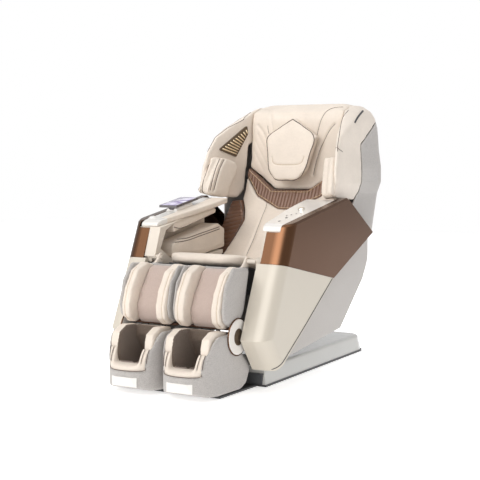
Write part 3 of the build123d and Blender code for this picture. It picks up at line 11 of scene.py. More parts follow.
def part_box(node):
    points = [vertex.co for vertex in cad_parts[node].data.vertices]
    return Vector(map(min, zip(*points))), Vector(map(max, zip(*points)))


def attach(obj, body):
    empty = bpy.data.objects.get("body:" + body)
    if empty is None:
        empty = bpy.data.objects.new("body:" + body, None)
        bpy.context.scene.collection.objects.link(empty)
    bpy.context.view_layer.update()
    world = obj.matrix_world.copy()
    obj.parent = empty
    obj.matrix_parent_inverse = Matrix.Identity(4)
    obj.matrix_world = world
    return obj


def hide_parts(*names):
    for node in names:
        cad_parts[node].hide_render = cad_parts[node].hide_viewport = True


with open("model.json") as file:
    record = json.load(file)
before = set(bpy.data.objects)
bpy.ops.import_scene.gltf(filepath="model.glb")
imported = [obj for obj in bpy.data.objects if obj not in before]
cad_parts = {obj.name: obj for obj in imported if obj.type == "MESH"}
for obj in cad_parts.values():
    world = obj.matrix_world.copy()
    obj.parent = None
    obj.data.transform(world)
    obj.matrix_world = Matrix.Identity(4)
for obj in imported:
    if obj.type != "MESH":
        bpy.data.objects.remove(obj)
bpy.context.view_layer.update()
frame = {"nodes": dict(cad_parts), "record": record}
nodes = frame["nodes"]
scene = bpy.context.scene
scene.view_settings.view_transform = "Standard"
scene.view_settings.look = "None"


# ---- materials -------------------------------------------------------------------------------
class Shader:
    """A node material with object coordinates in metres."""

    def __init__(self, name):
        self.mat = bpy.data.materials.new(name)
        self.mat.use_nodes = True
        self.tree = self.mat.node_tree
        self.bsdf = self.tree.nodes["Principled BSDF"]
        self.coord = self.tree.nodes.new("ShaderNodeTexCoord").outputs["Object"]

    def link(self, a, b):
        self.tree.links.new(a, b)

    def stretch(self, scale):
        node = self.tree.nodes.new("ShaderNodeMapping")
        node.inputs["Scale"].default_value = scale
        self.link(self.coord, node.inputs["Vector"])
        return node.outputs["Vector"]

    def noise(self, scale, detail=4.0, rough=0.5, vector=None):
        node = self.tree.nodes.new("ShaderNodeTexNoise")
        node.inputs["Scale"].default_value = scale
        node.inputs["Detail"].default_value = detail
        node.inputs["Roughness"].default_value = rough
        self.link(vector or self.coord, node.inputs["Vector"])
        return node.outputs["Fac"]

    def cells(self, scale):
        node = self.tree.nodes.new("ShaderNodeTexVoronoi")
        node.feature = "DISTANCE_TO_EDGE"
        node.inputs["Scale"].default_value = scale
        self.link(self.coord, node.inputs["Vector"])
        return node.outputs["Distance"]

    def bands(self, scale, axis):
        node = self.tree.nodes.new("ShaderNodeTexWave")
        node.bands_direction = axis
        node.inputs["Scale"].default_value = scale
        node.inputs["Detail"].default_value = 1.0
        self.link(self.coord, node.inputs["Vector"])
        return node.outputs["Fac"]

    def ramp(self, value, low, high, a=0.0, b=1.0):
        node = self.tree.nodes.new("ShaderNodeMapRange")
        node.inputs["From Min"].default_value = low
        node.inputs["From Max"].default_value = high
        node.inputs["To Min"].default_value = a
        node.inputs["To Max"].default_value = b
        self.link(value, node.inputs["Value"])
        return node.outputs["Result"]

    def blend(self, factor, a, b):
        node = self.tree.nodes.new("ShaderNodeMix")
        node.data_type = "RGBA"
        self.link(factor, node.inputs["Factor"])
        for socket, value in (("A", a), ("B", b)):
            where = [s for s in node.inputs if s.name == socket and s.type == "RGBA"][0]
            if isinstance(value, tuple):
                where.default_value = (*value, 1.0)
            else:
                self.link(value, where)
        return [s for s in node.outputs if s.type == "RGBA"][0]

    def math(self, kind, a, b):
        node = self.tree.nodes.new("ShaderNodeMath")
        node.operation = kind
        for socket, value in zip(node.inputs, (a, b)):
            if isinstance(value, (int, float)):
                socket.default_value = value
            else:
                self.link(value, socket)
        return node.outputs["Value"]

    def edges(self, colour, wear_and_highlight, crease_shade):
        """Lighter along convex edges, as edge wear and a painted highlight, and darker in creases, as painted
        shade.
        """
        shape = self.tree.nodes.new("ShaderNodeNewGeometry").outputs["Pointiness"]
        out = self.blend(self.ramp(shape, 0.50, 0.40), colour, crease_shade)
        return self.blend(self.ramp(shape, 0.52, 0.62, 0.0, 0.7), out, wear_and_highlight)

    def bump(self, height, strength, distance, under=None):
        node = self.tree.nodes.new("ShaderNodeBump")
        node.inputs["Strength"].default_value = strength
        node.inputs["Distance"].default_value = distance
        self.link(height, node.inputs["Height"])
        if under is not None:
            self.link(under, node.inputs["Normal"])
        return node.outputs["Normal"]

    def done(self, colour, rough, normal=None, metallic=0.0, coat=0.0, sheen=0.0, specular=0.5):
        self.link(colour, self.bsdf.inputs["Base Color"])
        if isinstance(rough, (int, float)):
            self.bsdf.inputs["Roughness"].default_value = rough
        else:
            self.link(rough, self.bsdf.inputs["Roughness"])
        self.bsdf.inputs["Metallic"].default_value = metallic
        self.bsdf.inputs["Coat Weight"].default_value = coat
        self.bsdf.inputs["Coat Roughness"].default_value = 0.12
        self.bsdf.inputs["Sheen Weight"].default_value = sheen
        self.bsdf.inputs["Specular IOR Level"].default_value = specular
        if normal is not None:
            self.link(normal, self.bsdf.inputs["Normal"])
        return self.mat


def tint(colour, k):
    return tuple(min(1.0, c * k) for c in colour)


def leather(name, colour, rough=0.48, grain=0.25, soft=0.35):
    s = Shader(name)
    broad = s.ramp(s.noise(7.0, 3.0), 0.35, 0.7)
    base = s.blend(broad, tint(colour, 1.03), tint(colour, 0.93))
    base = s.blend(s.ramp(s.noise(90.0, 5.0), 0.45, 0.8, 0.0, 0.35), base, tint(colour, 0.86))
    # painted shade darkens the creases; convex edges are lighter, as wear and a painted highlight
    base = s.edges(base, tint(colour, 1.08), tint(colour, 0.55))
    pores = s.ramp(s.cells(620.0), 0.0, 0.12)
    folds = s.noise(38.0, 5.0, 0.6, s.stretch((1.0, 1.0, 2.6)))
    normal = s.bump(folds, soft, 0.0022)
    normal = s.bump(pores, grain, 0.00025, normal)
    wear = s.ramp(s.noise(160.0), 0.3, 0.7, rough - 0.06, rough + 0.08)
    return s.done(base, wear, normal, sheen=0.08, specular=0.42)


def cloth(name, colour, fleck, rough=0.85, thread=420.0, strength=0.5):
    s = Shader(name)
    flecks = s.ramp(s.noise(210.0, 8.0, 0.75, s.stretch((1.0, 1.0, 2.2))), 0.36, 0.66)
    base = s.blend(flecks, fleck, colour)
    base = s.blend(s.ramp(s.noise(60.0, 6.0, 0.7), 0.40, 0.62, 0.0, 0.35), base, tint(colour, 0.9))
    # painted shade darkens the creases; convex edges are lighter, as wear and a painted highlight
    base = s.edges(base, tint(colour, 1.06), tint(colour, 0.5))
    upright = s.bands(thread, "Z")
    weave = s.math("MAXIMUM", upright, s.math("MAXIMUM", s.bands(thread, "X"), s.bands(thread, "Y")))
    normal = s.bump(s.noise(26.0, 4.0), 0.25, 0.002)
    normal = s.bump(weave, strength, 0.0004, normal)
    return s.done(base, rough, normal, sheen=0.25, specular=0.25)


def moulded(name, colour, rough=0.3, coat=0.3, wear_and_highlight=1.05):
    s = Shader(name)
    base = s.blend(s.ramp(s.noise(3.0, 2.0), 0.3, 0.7), tint(colour, 1.0), tint(colour, 0.965))
    # painted shade darkens the creases; convex edges are lighter, as wear and a painted highlight
    base = s.edges(base, tint(colour, wear_and_highlight), tint(colour, 0.7))
    peel = s.noise(260.0, 2.0)
    rub = s.ramp(s.noise(24.0, 6.0, 0.65), 0.35, 0.75, rough - 0.03, rough + 0.07)
    return s.done(base, rub, s.bump(peel, 0.05, 0.0003), coat=coat)


def metal(name, colour, rough=0.34, brushed=None, metallic=0.85):
    s = Shader(name)
    base = s.blend(s.ramp(s.noise(900.0, 2.0), 0.4, 0.7), tint(colour, 0.94), tint(colour, 1.06))
    # painted shade darkens the creases; convex edges are lighter, as a painted highlight
    base = s.edges(base, tint(colour, 1.25), tint(colour, 0.6))
    if brushed:
        height = s.noise(60.0, 6.0, 0.7, s.stretch(brushed))
    else:
        height = s.noise(1400.0, 2.0)
    return s.done(base, s.ramp(s.noise(6.0, 2.0), 0.3, 0.7, rough - 0.02, rough + 0.02),
                  s.bump(height, 0.06, 0.0002), metallic=metallic)


CREAM = (0.770, 0.680, 0.590)
M = {
    "cream_leather": leather("cream_leather", CREAM),
    "cream_tight": leather("cream_tight", (0.800, 0.715, 0.630), 0.42, 0.18, 0.12),
    "taupe_fabric": cloth("taupe_fabric", (0.560, 0.450, 0.400), (0.430, 0.335, 0.290), 0.8, 520.0, 0.3),
    "mesh_fabric": cloth("mesh_fabric", (0.215, 0.165, 0.130), (0.120, 0.088, 0.066), 0.85, 360.0, 0.8),
    "grey_fabric": cloth("grey_fabric", (0.560, 0.530, 0.505), (0.330, 0.308, 0.295)),
    "brown_leather": leather("brown_leather", (0.140, 0.066, 0.036), 0.38, 0.2, 0.2),
    "bronze": metal("bronze", (0.108, 0.052, 0.027), 0.22, metallic=0.97),
    "bronze_light": metal("bronze_light", (0.760, 0.620, 0.420), 0.36, metallic=0.6),
    "cream_gloss": moulded("cream_gloss", (0.600, 0.545, 0.462), 0.34, 0.15),
    "core_gloss": moulded("core_gloss", (0.680, 0.610, 0.530), 0.4, 0.1),
    "white_gloss": moulded("white_gloss", (0.800, 0.770, 0.735), 0.22, 0.5),
    "plinth_gloss": moulded("plinth_gloss", (0.640, 0.635, 0.610), 0.16, 0.7),
    "black_plastic": moulded("black_plastic", (0.020, 0.020, 0.021), 0.42, 0.0, 2.2),
    "frame_paint": moulded("frame_paint", (0.055, 0.057, 0.060), 0.38, 0.2, 2.0),
    "steel": metal("steel", (0.560, 0.550, 0.540), 0.28, (1.0, 1.0, 26.0), metallic=1.0),
    "dark_plastic": moulded("dark_plastic", (0.045, 0.042, 0.040), 0.45, 0.0, 2.0),
    "wheel_rubber": moulded("wheel_rubber", (0.025, 0.025, 0.025), 0.72, 0.0, 1.8),
    "dial_metal": metal("dial_metal", (0.700, 0.660, 0.600), 0.24, (26.0, 26.0, 1.0), metallic=1.0),
    "grille_back": metal("grille_back", (0.110, 0.078, 0.050), 0.5, metallic=0.5),
    "tablet_case": moulded("tablet_case", (0.070, 0.062, 0.066), 0.3, 0.4, 1.6),
    "sole_leather": leather("sole_leather", (0.640, 0.530, 0.470), 0.5),
    "thread": leather("thread", (0.085, 0.055, 0.040), 0.6),
    "gold_piping": leather("gold_piping", (0.500, 0.360, 0.220), 0.4),
    "cream_piping": leather("cream_piping", (0.850, 0.790, 0.720), 0.4),
}


def screen_material():
    s = Shader("screen_glass")
    # the purple-grey streaks are a painted reflection on the dark glass, and the emission makes this painted
    # reflection glow
    reflection_streaks = s.noise(16.0, 2.0, 0.5, s.stretch((1.0, 1.6, 1.0)))
    base = s.blend(s.ramp(reflection_streaks, 0.38, 0.62), (0.20, 0.15, 0.32), (0.72, 0.70, 0.80))
    s.link(base, s.bsdf.inputs["Emission Color"])
    s.bsdf.inputs["Emission Strength"].default_value = 0.35
    return s.done(base, 0.12, coat=0.6)


M["screen_glass"] = screen_material()

SLOT = {entry["node"]: entry["material_slot"] for entry in frame["record"]["subparts"]}
OWNER = {node: body for body, members in frame["record"]["behaviour"]["bodies"].items() for node in members}
SPECIAL = {
    "left_armrest": "white_gloss", "right_armrest": "white_gloss",
    "left_arm_core": "core_gloss", "right_arm_core": "core_gloss", "leg_motors": "core_gloss",
    "speaker_grilles": "grille_back", "tablet": "tablet_case",
    "left_toe_cap": "white_gloss", "right_toe_cap": "white_gloss",
    "left_pivot_disc": "white_gloss", "right_pivot_disc": "white_gloss",
    # the ankle slides are coloured dark so that the gap between calf and foot shows painted shade
    "left_ankle_slide": "dark_plastic", "right_ankle_slide": "dark_plastic",
}
for name, obj in nodes.items():
    chosen = M[SPECIAL.get(name, SLOT[name])]
    if not obj.material_slots:
        obj.data.materials.append(chosen)
    for slot in obj.material_slots:
        slot.material = chosen


# ---- mesh tools ------------------------------------------------------------------------------
def coords(mesh):
    co = np.empty(len(mesh.vertices) * 3)
    mesh.vertices.foreach_get("co", co)
    return co.reshape(-1, 3)


def put(mesh, co):
    mesh.vertices.foreach_set("co", np.ascontiguousarray(co, dtype=np.float32).ravel())
    mesh.update()


def normals(mesh):
    out = np.empty(len(mesh.vertices) * 3)
    mesh.vertex_normals.foreach_get("vector", out)
    return out.reshape(-1, 3)


def pairs(mesh):
    out = np.empty(len(mesh.edges) * 2, dtype=np.int64)
    mesh.edges.foreach_get("vertices", out)
    return out.reshape(-1, 2)


def relax(mesh, times, factor=0.5):
    """Evens out the mesh, which rounds its edges."""
    co, edge = coords(mesh), pairs(mesh)
    count = np.bincount(edge.ravel(), minlength=len(co))[:, None].clip(1)
    for _ in range(times):
        total = np.empty_like(co)
        for axis in range(3):
            total[:, axis] = (np.bincount(edge[:, 0], co[edge[:, 1], axis], len(co))
                              + np.bincount(edge[:, 1], co[edge[:, 0], axis], len(co)))
        co += factor * (total / count - co)
    put(mesh, co)


def evaluated(obj):
    """obj's mesh with its modifiers applied."""
    graph = bpy.context.evaluated_depsgraph_get()
    return bpy.data.meshes.new_from_object(obj.evaluated_get(graph))


def add(name, mesh, material, smooth=True):
    obj = bpy.data.objects.new(name, mesh)
    scene.collection.objects.link(obj)
    mesh.materials.clear()
    mesh.materials.append(material)
    if smooth:
        mesh.polygons.foreach_set("use_smooth", [True] * len(mesh.polygons))
    return obj


def remeshed(name, node, voxel, material):
    """A copy of the CAD solid with an even mesh."""
    raw = add(name + "_raw", nodes[node].data.copy(), material, False)
    step = raw.modifiers.new("even", "REMESH")
    step.mode = "VOXEL"
    step.voxel_size = voxel
    mesh = evaluated(raw)
    bpy.data.objects.remove(raw)
    return add(name, mesh, material)


def subdivided(obj):
    """Splits each face once, smoothly."""
    finer = obj.modifiers.new("finer", "SUBSURF")
    finer.levels = finer.render_levels = 1
    mesh = evaluated(obj)
    obj.modifiers.clear()
    obj.data = mesh
    mesh.polygons.foreach_set("use_smooth", [True] * len(mesh.polygons))
    return mesh


def tree_of(obj):
    mesh = obj.data
    return BVHTree.FromPolygons([v.co for v in mesh.vertices], [p.vertices for p in mesh.polygons])


def curve_through(points, step=0.004):
    """Points on a smooth line through the given points."""
    pts = [Vector(p) for p in points]
    ends = [pts[0] * 2 - pts[1]] + pts + [pts[-1] * 2 - pts[-2]]
    out = []
    for a, b, c, d in zip(ends, ends[1:], ends[2:], ends[3:]):
        count = max(2, int((c - b).length / step))
        for i in range(count):
            t = i / count
            out.append(0.5 * (2 * b + (c - a) * t + (2 * a - 5 * b + 4 * c - d) * t * t
                              + (3 * b - a - 3 * c + d) * t ** 3))
    out.append(pts[-1])
    return out


def straight_through(points, step=0.004):
    pts = [Vector(p) for p in points]
    out = []
    for a, b in zip(pts, pts[1:]):
        count = max(1, int((b - a).length / step))
        out += [a.lerp(b, i / count) for i in range(count)]
    return out + [pts[-1]]


def laid_on(obj_or_tree, points, way, lift=0.0, reach=0.4):
    """The points moved along `way` on to the surface."""
    tree = obj_or_tree if isinstance(obj_or_tree, BVHTree) else tree_of(obj_or_tree)
    way = Vector(way).normalized()
    out = []
    for p in points:
        hit = tree.ray_cast(p - way * reach, way, reach * 2)
        if hit[0] is not None:
            out.append(hit[0] - way * lift)
    return out


def groove(obj, line, width, depth):
    """Presses a sewn channel along the line into the surface."""
    co, away = coords(obj.data), normals(obj.data)
    pts = np.array([tuple(p) for p in line])
    low, high = pts.min(0) - 4 * width, pts.max(0) + 4 * width
    near = np.where(((co > low) & (co < high)).all(1))[0]
    if not len(near):
        return
    best = np.full(len(near), 9.0)
    for start in range(0, len(pts), 64):
        block = pts[start:start + 64]
        gap = np.linalg.norm(co[near][:, None, :] - block[None, :, :], axis=2).min(1)
        best = np.minimum(best, gap)
    co[near] -= away[near] * (depth * np.exp(-(best / width) ** 2))[:, None]
    put(obj.data, co)


TUBE_TAPER = 0.35           # a tube's end against its full radius


def bridged(bm, rings, closed=False):
    """Skins the rings, from each to the next."""
    count = len(rings[0])
    runs = list(zip(rings, rings[1:])) + ([(rings[-1], rings[0])] if closed else [])
    for a, b in runs:
        for k in range(count):
            bm.faces.new((a[k], a[(k + 1) % count], b[(k + 1) % count], b[k]))


def placed(bm, name, material, body):
    """Makes the built mesh a piece that rides on the body."""
    mesh = bpy.data.meshes.new(name)
    bm.to_mesh(mesh)
    bm.free()
    obj = add(name, mesh, M[material])
    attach(obj, body)
    return obj


def tube(name, lines, radius, material, body, sides=8, closed=False):
    """Piping or thread along each line."""
    bm = bmesh.new()
    for line in lines:
        pts = [Vector(p) for p in line]
        if len(pts) < 2:
            continue
        rings = []
        side = None
        for i, p in enumerate(pts):
            if closed:
                along = (pts[(i + 1) % len(pts)] - pts[i - 1]).normalized()
            else:
                along = (pts[min(i + 1, len(pts) - 1)] - pts[max(i - 1, 0)]).normalized()
            if side is None:
                side = along.orthogonal().normalized()
            side = (side - along * side.dot(along)).normalized()
            up = along.cross(side)
            end = TUBE_TAPER if not closed and i in (0, len(pts) - 1) else 1.0
            turns = [2 * pi * k / sides for k in range(sides)]
            rings.append([bm.verts.new(p + (side * cos(a) + up * sin(a)) * radius * end) for a in turns])
        bridged(bm, rings, closed)
        if not closed:
            bm.faces.new(rings[0][::-1])
            bm.faces.new(rings[-1])
    bm.normal_update()
    return placed(bm, name, material, body)


def mirrored(obj, name):
    mesh = obj.data.copy()
    co = coords(mesh)
    co[:, 0] *= -1
    put(mesh, co)
    mesh.flip_normals()
    copy = bpy.data.objects.new(name, mesh)
    scene.collection.objects.link(copy)
    return copy


def flip(line):
    return [(-p[0], p[1], p[2]) for p in line]


def drawn(lines):
    """The lines that are long enough to draw."""
    return [line for line in lines if len(line) > 1]


def on_side(side, lines, home="left"):
    """The lines as they are on their home side, and mirrored on the other."""
    return drawn([[tuple(p) for p in line] if side == home else flip(line) for line in lines])


def mm(*points):
    return [tuple(v / 1000 for v in p) for p in points]


# ---- padded pieces ---------------------------------------------------------------------------
# node, piece, voxel, rounding passes, start inset, puff cap, material
PADS = [
    ("seat_cushion", "seat_pad", 0.006, 10, 0.0050, 0.0070, "cream_leather"),
    ("lower_back_cushion", "lower_back_pad", 0.006, 3, 0.0030, 0.0045, "cream_leather"),
    ("upper_back_cushion", "upper_back_pad", 0.006, 3, 0.0030, 0.0045, "cream_leather"),
    ("head_pillow", "head_pillow_pad", 0.0045, 6, 0.0050, 0.0090, "cream_leather"),
    ("left_wing", "left_wing_pad", 0.0055, 8, 0.0010, 0.0020, "cream_tight"),
    ("left_shoulder_airbag", "left_shoulder_pads", 0.0045, 8, 0.0040, 0.0060, "cream_leather"),
    ("left_arm_pads", "left_arm_inner_pads", 0.0040, 6, 0.0035, 0.0055, "cream_leather"),
    ("left_calf_side_pads", "left_calf_rolls", 0.0045, 8, 0.0035, 0.0055, "cream_leather"),
    ("left_calf_centre_pad", "left_calf_centre", 0.0045, 12, 0.0035, 0.0060, "taupe_fabric"),
    ("left_foot_liner", "left_foot_well", 0.0045, 6, 0.0015, 0.0030, "cream_leather"),
    ("left_calf_shell", "left_calf_cover", 0.0050, 14, 0.0005, 0.0030, "grey_fabric"),
    ("right_armrest", "right_arm_top", 0.0040, 4, 0.0004, 0.0010, "white_gloss"),
    ("left_foot_shell", "left_foot_cover", 0.0050, 14, 0.0005, 0.0020, "grey_fabric"),
]
SIM = {"seat_cushion", "lower_back_cushion", "upper_back_cushion", "head_pillow", "left_shoulder_airbag",
       "left_arm_pads", "left_calf_side_pads", "left_calf_centre_pad"}

SIM_FRAMES = 13
SIM_PRESSURE = 3.0
SIM_SHARE = 0.6             # how much of the simulated swelling a pad keeps
EVEN_SHARE = 0.35           # even swelling added to it, as a share of the cap
QUICK_SHARE = 0.8

pads = {}
start = {}
for node, piece, voxel, passes, inset, cap, material in PADS:
    obj = remeshed(piece, node, voxel, M[material])
    relax(obj.data, passes)
    co = coords(obj.data) - normals(obj.data) * inset
    put(obj.data, co)
    pads[node] = obj
    start[node] = co.copy()

for node in SIM:
    cloth_step = pads[node].modifiers.new("air", "CLOTH")
    setting = cloth_step.settings
    setting.use_pressure = True
    setting.uniform_pressure_force = SIM_PRESSURE
    setting.effector_weights.gravity = 0.0
    setting.quality = 3
    cloth_step.point_cache.frame_start = 1
    cloth_step.point_cache.frame_end = SIM_FRAMES
for number in range(1, SIM_FRAMES + 1):
    scene.frame_set(number)
swollen = {node: coords(evaluated(pads[node])) for node in SIM}
scene.frame_set(1)
for node in SIM:
    pads[node].modifiers.clear()

for node, piece, voxel, passes, inset, cap, material in PADS:
    obj = pads[node]
    if node in SIM:
        move = swollen[node] - start[node]
        length = np.linalg.norm(move, axis=1)[:, None].clip(1e-9)
        even = normals(obj.data) * cap * EVEN_SHARE
        put(obj.data, start[node] + even + SIM_SHARE * move * np.minimum(1.0, cap / length))
        relax(obj.data, 2)
    else:
        put(obj.data, start[node] + normals(obj.data) * cap * QUICK_SHARE)
    subdivided(obj)


def fill_space(obj, node, gap=0.0004):
    """Stretches the pad a little, to fill the box of its CAD solid."""
    low, high = (np.array(tuple(c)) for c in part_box(node))
    co = coords(obj.data)
    near, far = co.min(0), co.max(0)
    scale = (high - low - 2 * gap) / (far - near)
    put(obj.data, (low + high) / 2 + (co - (near + far) / 2) * scale)


def finish_pad(obj, node):
    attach(obj, OWNER[node])
    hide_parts(node)


for node in pads:
    fill_space(pads[node], node)

# directions in which seam lines are laid on to a pad
FRONT = (0, 1, 0)
ASLANT = (-0.512, 0.856, -0.0715)
INWARD = (-1, 0, 0)
DOWN = (0, 0, -1)
back_seams = []

# lower back: two sewn seams
low_seam = mm((105, 154, 742), (105, 122, 686), (105, 75, 627), (105, 20, 555), (105, -35, 493))
low_pad = pads["lower_back_cushion"]
for line in (low_seam, flip(low_seam)):
    path = laid_on(low_pad, curve_through(line), FRONT)
    groove(low_pad, path, 0.008, 0.004)
    back_seams.append(laid_on(low_pad, curve_through(line), FRONT, -0.0003))

# head cushion: two curved seams on each side of the pillow
top_pad = pads["upper_back_cushion"]
arcs = [
    mm((217, 270, 1183), (169, 267, 1177), (143, 257, 1151), (121, 244, 1079), (110, 241, 1027)),
    mm((206, 246, 1101), (181, 244, 1073), (160, 241, 1036), (133, 238, 980), (114, 234, 919), (103, 230, 862)),
]
for line in arcs:
    path = laid_on(top_pad, curve_through(line), FRONT)
    groove(top_pad, path, 0.007, 0.0045)
    back_seams.append(laid_on(top_pad, curve_through(line), FRONT, -0.0002))
    path = laid_on(top_pad, curve_through(flip(line)), FRONT)
    groove(top_pad, path, 0.008, 0.003)
short_seam = mm((-152, 245, 1100), (-150, 245, 1080), (-143, 243, 1058))
back_seams.append(laid_on(top_pad, curve_through(short_seam), FRONT, -0.0002))

# slanting creases in its leather, beside the pillow
CREASE_PITCH, CREASE_LEAN, PILLOW_HALF = 34, 110, 0.12
for k in range(-7, 8):
    x = -240 + k * CREASE_PITCH
    slant = mm((x, 240, 1060), (x + CREASE_LEAN, 240, 880))
    path = [p for p in laid_on(top_pad, straight_through(slant), FRONT) if abs(p.x) > PILLOW_HALF]
    if path:
        groove(top_pad, path, 0.006, 0.0012)

# head pillow: a dark rim round the edge, piping with painted shadow along it, and the stitch line near its foot
pillow = pads["head_pillow"]
RIM = [(0, 1126), (-60, 1090), (-124, 1040), (-113, 965), (-94, 885), (-56, 842), (0, 838),
       (56, 842), (94, 885), (113, 965), (124, 1040), (60, 1090)]
rim = curve_through([(x / 1000, 0.2, z / 1000) for x, z in RIM + RIM[:1]], 0.005)[:-1]
rim_path = laid_on(pillow, rim, FRONT, 0.0006)
stitch = mm((-86, 199, 948), (-76, 199, 922), (-52, 197, 912), (0, 197, 910),
            (52, 197, 912), (76, 199, 922), (86, 199, 948))
stitch_path = laid_on(pillow, curve_through(stitch), FRONT)
groove(pillow, stitch_path, 0.005, 0.003)

# calf rolls: a sewn channel down each roll
calf_lines = []
for x in (38, 222):
    route = curve_through(mm(*[(x, -800, z) for z in (278, 310, 350, 400, 450, 490)]))
    path = laid_on(pads["left_calf_side_pads"], route, FRONT)
    groove(pads["left_calf_side_pads"], path, 0.006, 0.004)
    calf_lines.append(laid_on(pads["left_calf_side_pads"], route, FRONT, -0.0002))


def repaint(obj, extra, test):
    """Gives the faces that pass the test the extra material."""
    obj.data.materials.append(M[extra])
    index = len(obj.data.materials) - 1
    for face in obj.data.polygons:
        if test(face.center, face.normal):
            face.material_index = index


MID = 0.132                 # middle of the left leg unit
repaint(pads["right_armrest"], "cream_leather", lambda c, n: c.x > -0.288 and c.y > -0.47)
repaint(pads["left_calf_shell"], "cream_leather", lambda c, n: c.z > 0.500 and c.y > -0.66)
well = pads["left_foot_liner"]
cover = pads["left_foot_shell"]
GATE_HALF, LIP_WIDTH = 0.061, 0.026
LIP_Z, LIP_TOP_HALF = 0.098, 0.101


def well_side(c, n):
    facing_in = abs(n.x) > 0.45 and (c.x - MID) * n.x < 0
    return abs(c.x - MID) < 0.072 and facing_in and c.z > 0.10


def well_heel(c, n):
    return abs(c.x - MID) < 0.062 and n.y < -0.45 and c.z > 0.12


def well_sole(c, n):
    return abs(c.x - MID) < 0.064 and n.z > 0.5 and c.z < 0.16


def near_well(c, n):
    """The padded lip round the well: wide on top, narrow down the open front."""
    aside = abs(c.x - MID)
    top = c.z > 0.205 and n.z > 0.35 and aside < LIP_TOP_HALF
    sides = c.y < -0.86 and c.z > LIP_Z and aside < GATE_HALF + LIP_WIDTH + 0.10 * max(0.0, c.z - 0.12)
    return top or sides


repaint(well, "mesh_fabric", well_side)
repaint(well, "mesh_fabric", well_heel)
repaint(well, "sole_leather", well_sole)

repaint(cover, "cream_leather", near_well)

# seams along the lip: two down each side and one under its front
LIP_LOW, LIP_HIGH = 98, 240
foot_lines = []
for side in (-1, 1):
    for top_x, low_x in ((101, 87), (80, 72)):
        rows = [(MID * 1000 + side * (low_x + (top_x - low_x) * t), -1000, LIP_LOW + (LIP_HIGH - LIP_LOW) * t)
                for t in (0.2, 0.4, 0.6, 0.8, 1.0)]
        foot_lines.append(laid_on(cover, curve_through(mm(*rows)), FRONT, -0.0004))
        rows = [(MID * 1000 + side * top_x, y, 300) for y in (-868, -840, -800, -760, -722)]
        foot_lines.append(laid_on(cover, curve_through(mm(*rows)), DOWN, -0.0004))
rows = [(MID * 1000 + x, -1000, z) for x, z in ((-87, 112), (-80, 100), (0, 98), (80, 100), (87, 112))]
foot_lines.append(laid_on(cover, curve_through(mm(*rows)), FRONT, -0.0004))
for path in foot_lines:
    groove(cover, path, 0.007, 0.004)

for node, obj in list(pads.items()):
    if node.startswith("left_"):
        twin = node.replace("left_", "right_")
        pads[twin] = mirrored(obj, obj.name.replace("left_", "right_"))
for node, obj in pads.items():
    finish_pad(obj, node)

FINE, THIN, MEDIUM, THICK = 0.0009, 0.0013, 0.0018, 0.0022       # radii of stitches and piping
for side in ("left", "right"):
    tube(side + "_calf_seams", on_side(side, calf_lines), FINE, "gold_piping", side + "_leg",
         6)
# dark rim round the pillow: piping, and painted shadow along the pillow's edge
tube("pillow_piping_and_edge_shade", [rim_path], THICK, "thread", "pillow", closed=True)
stitch_laid = laid_on(pillow, curve_through(stitch), FRONT)
tube("pillow_stitch", [stitch_laid], FINE, "gold_piping", "pillow", 6)
tube("back_seams", back_seams, 0.0012, "thread", "back", 6)


# ---- pleated brown leather -------------------------------------------------------------------
PLEAT_VOXEL, PLEAT_INSET, PLEAT_DEPTH = 0.0045, 0.0003, 0.0035


def pleated(node, piece, pitch, angle):
    """A brown trim with pleats across its front."""
    obj = remeshed(piece, node, PLEAT_VOXEL, M["brown_leather"])
    relax(obj.data, 3)
    mesh = subdivided(obj)
    co, away = coords(mesh), normals(mesh)
    run = np.abs(co[:, 0]) * cos(angle) + co[:, 2] * sin(angle)
    wave = np.abs(np.sin(pi * run / pitch)) ** 0.7
    front = np.clip(-away[:, 1] * 1.6, 0, 1)
    co -= away * ((1 - wave) * PLEAT_DEPTH * front + PLEAT_INSET)[:, None]
    put(mesh, co)
    finish_pad(obj, node)
    return obj


chevron = pleated("chevron_trim", "chevron_pleats", 0.017, 0.0)
lumbar = pleated("lumbar_trims", "lumbar_pleats", 0.019, radians(75))

chevron_top = mm((-238, 0, 882), (-98, 0, 783), (98, 0, 783), (238, 0, 882))
chevron_low = mm((-234, 0, 852), (-166, 0, 769), (-34, 0, 708), (34, 0, 708), (166, 0, 769), (234, 0, 852))
piping = [laid_on(chevron, straight_through(line), FRONT, 0.0008) for line in (chevron_top, chevron_low)]
tube("chevron_piping", piping, 0.0016, "gold_piping", "back", 6)
lumbar_edge = mm((252, 0, 482), (207, 0, 644), (254, 0, 736))
piping = [laid_on(lumbar, curve_through(line), FRONT, 0.0006) for line in (lumbar_edge, flip(lumbar_edge))]
tube("lumbar_piping", piping, THICK, "thread", "back", 6)

# ---- wing seams, a painted shade line along the gap between wing and shell, top slot -------------
wing = pads["left_wing"]
rim_line = mm((256, 285, 1165), (272, 200, 1134), (301, 107, 1080), (331, 21, 1007), (340, -1, 970))
rim_laid = laid_on(wing, curve_through(rim_line), ASLANT, 0.0004)
notch_line = mm((334, 0, 990), (342, 12, 980), (350, 33, 969))
notch_laid = laid_on(wing, straight_through(notch_line), ASLANT, 0.0004)
# a dark thread tube along the gap between wing and shell: painted shade in that gap
shell_gap_line = mm((360, 173, 751), (360, 212, 787), (360, 240, 1002), (360, 425, 1104))
shell_gap_laid = laid_on(wing, straight_through(shell_gap_line), INWARD, 0.0)
slot_line = mm((300, 350, 1163), (305, 330, 1158), (317, 260, 1132), (329, 197, 1102))
slot_laid = laid_on(wing, curve_through(slot_line), ASLANT, -0.0020)
for side in ("left", "right"):
    lines = on_side(side, (rim_laid, notch_laid, shell_gap_laid))
    tube(side + "_wing_seams_and_gap_shade", lines, 0.0015, "thread", "back", 6)
    tube(side + "_wing_slot", on_side(side, [slot_laid]), 0.0048, "black_plastic", "back", 8)

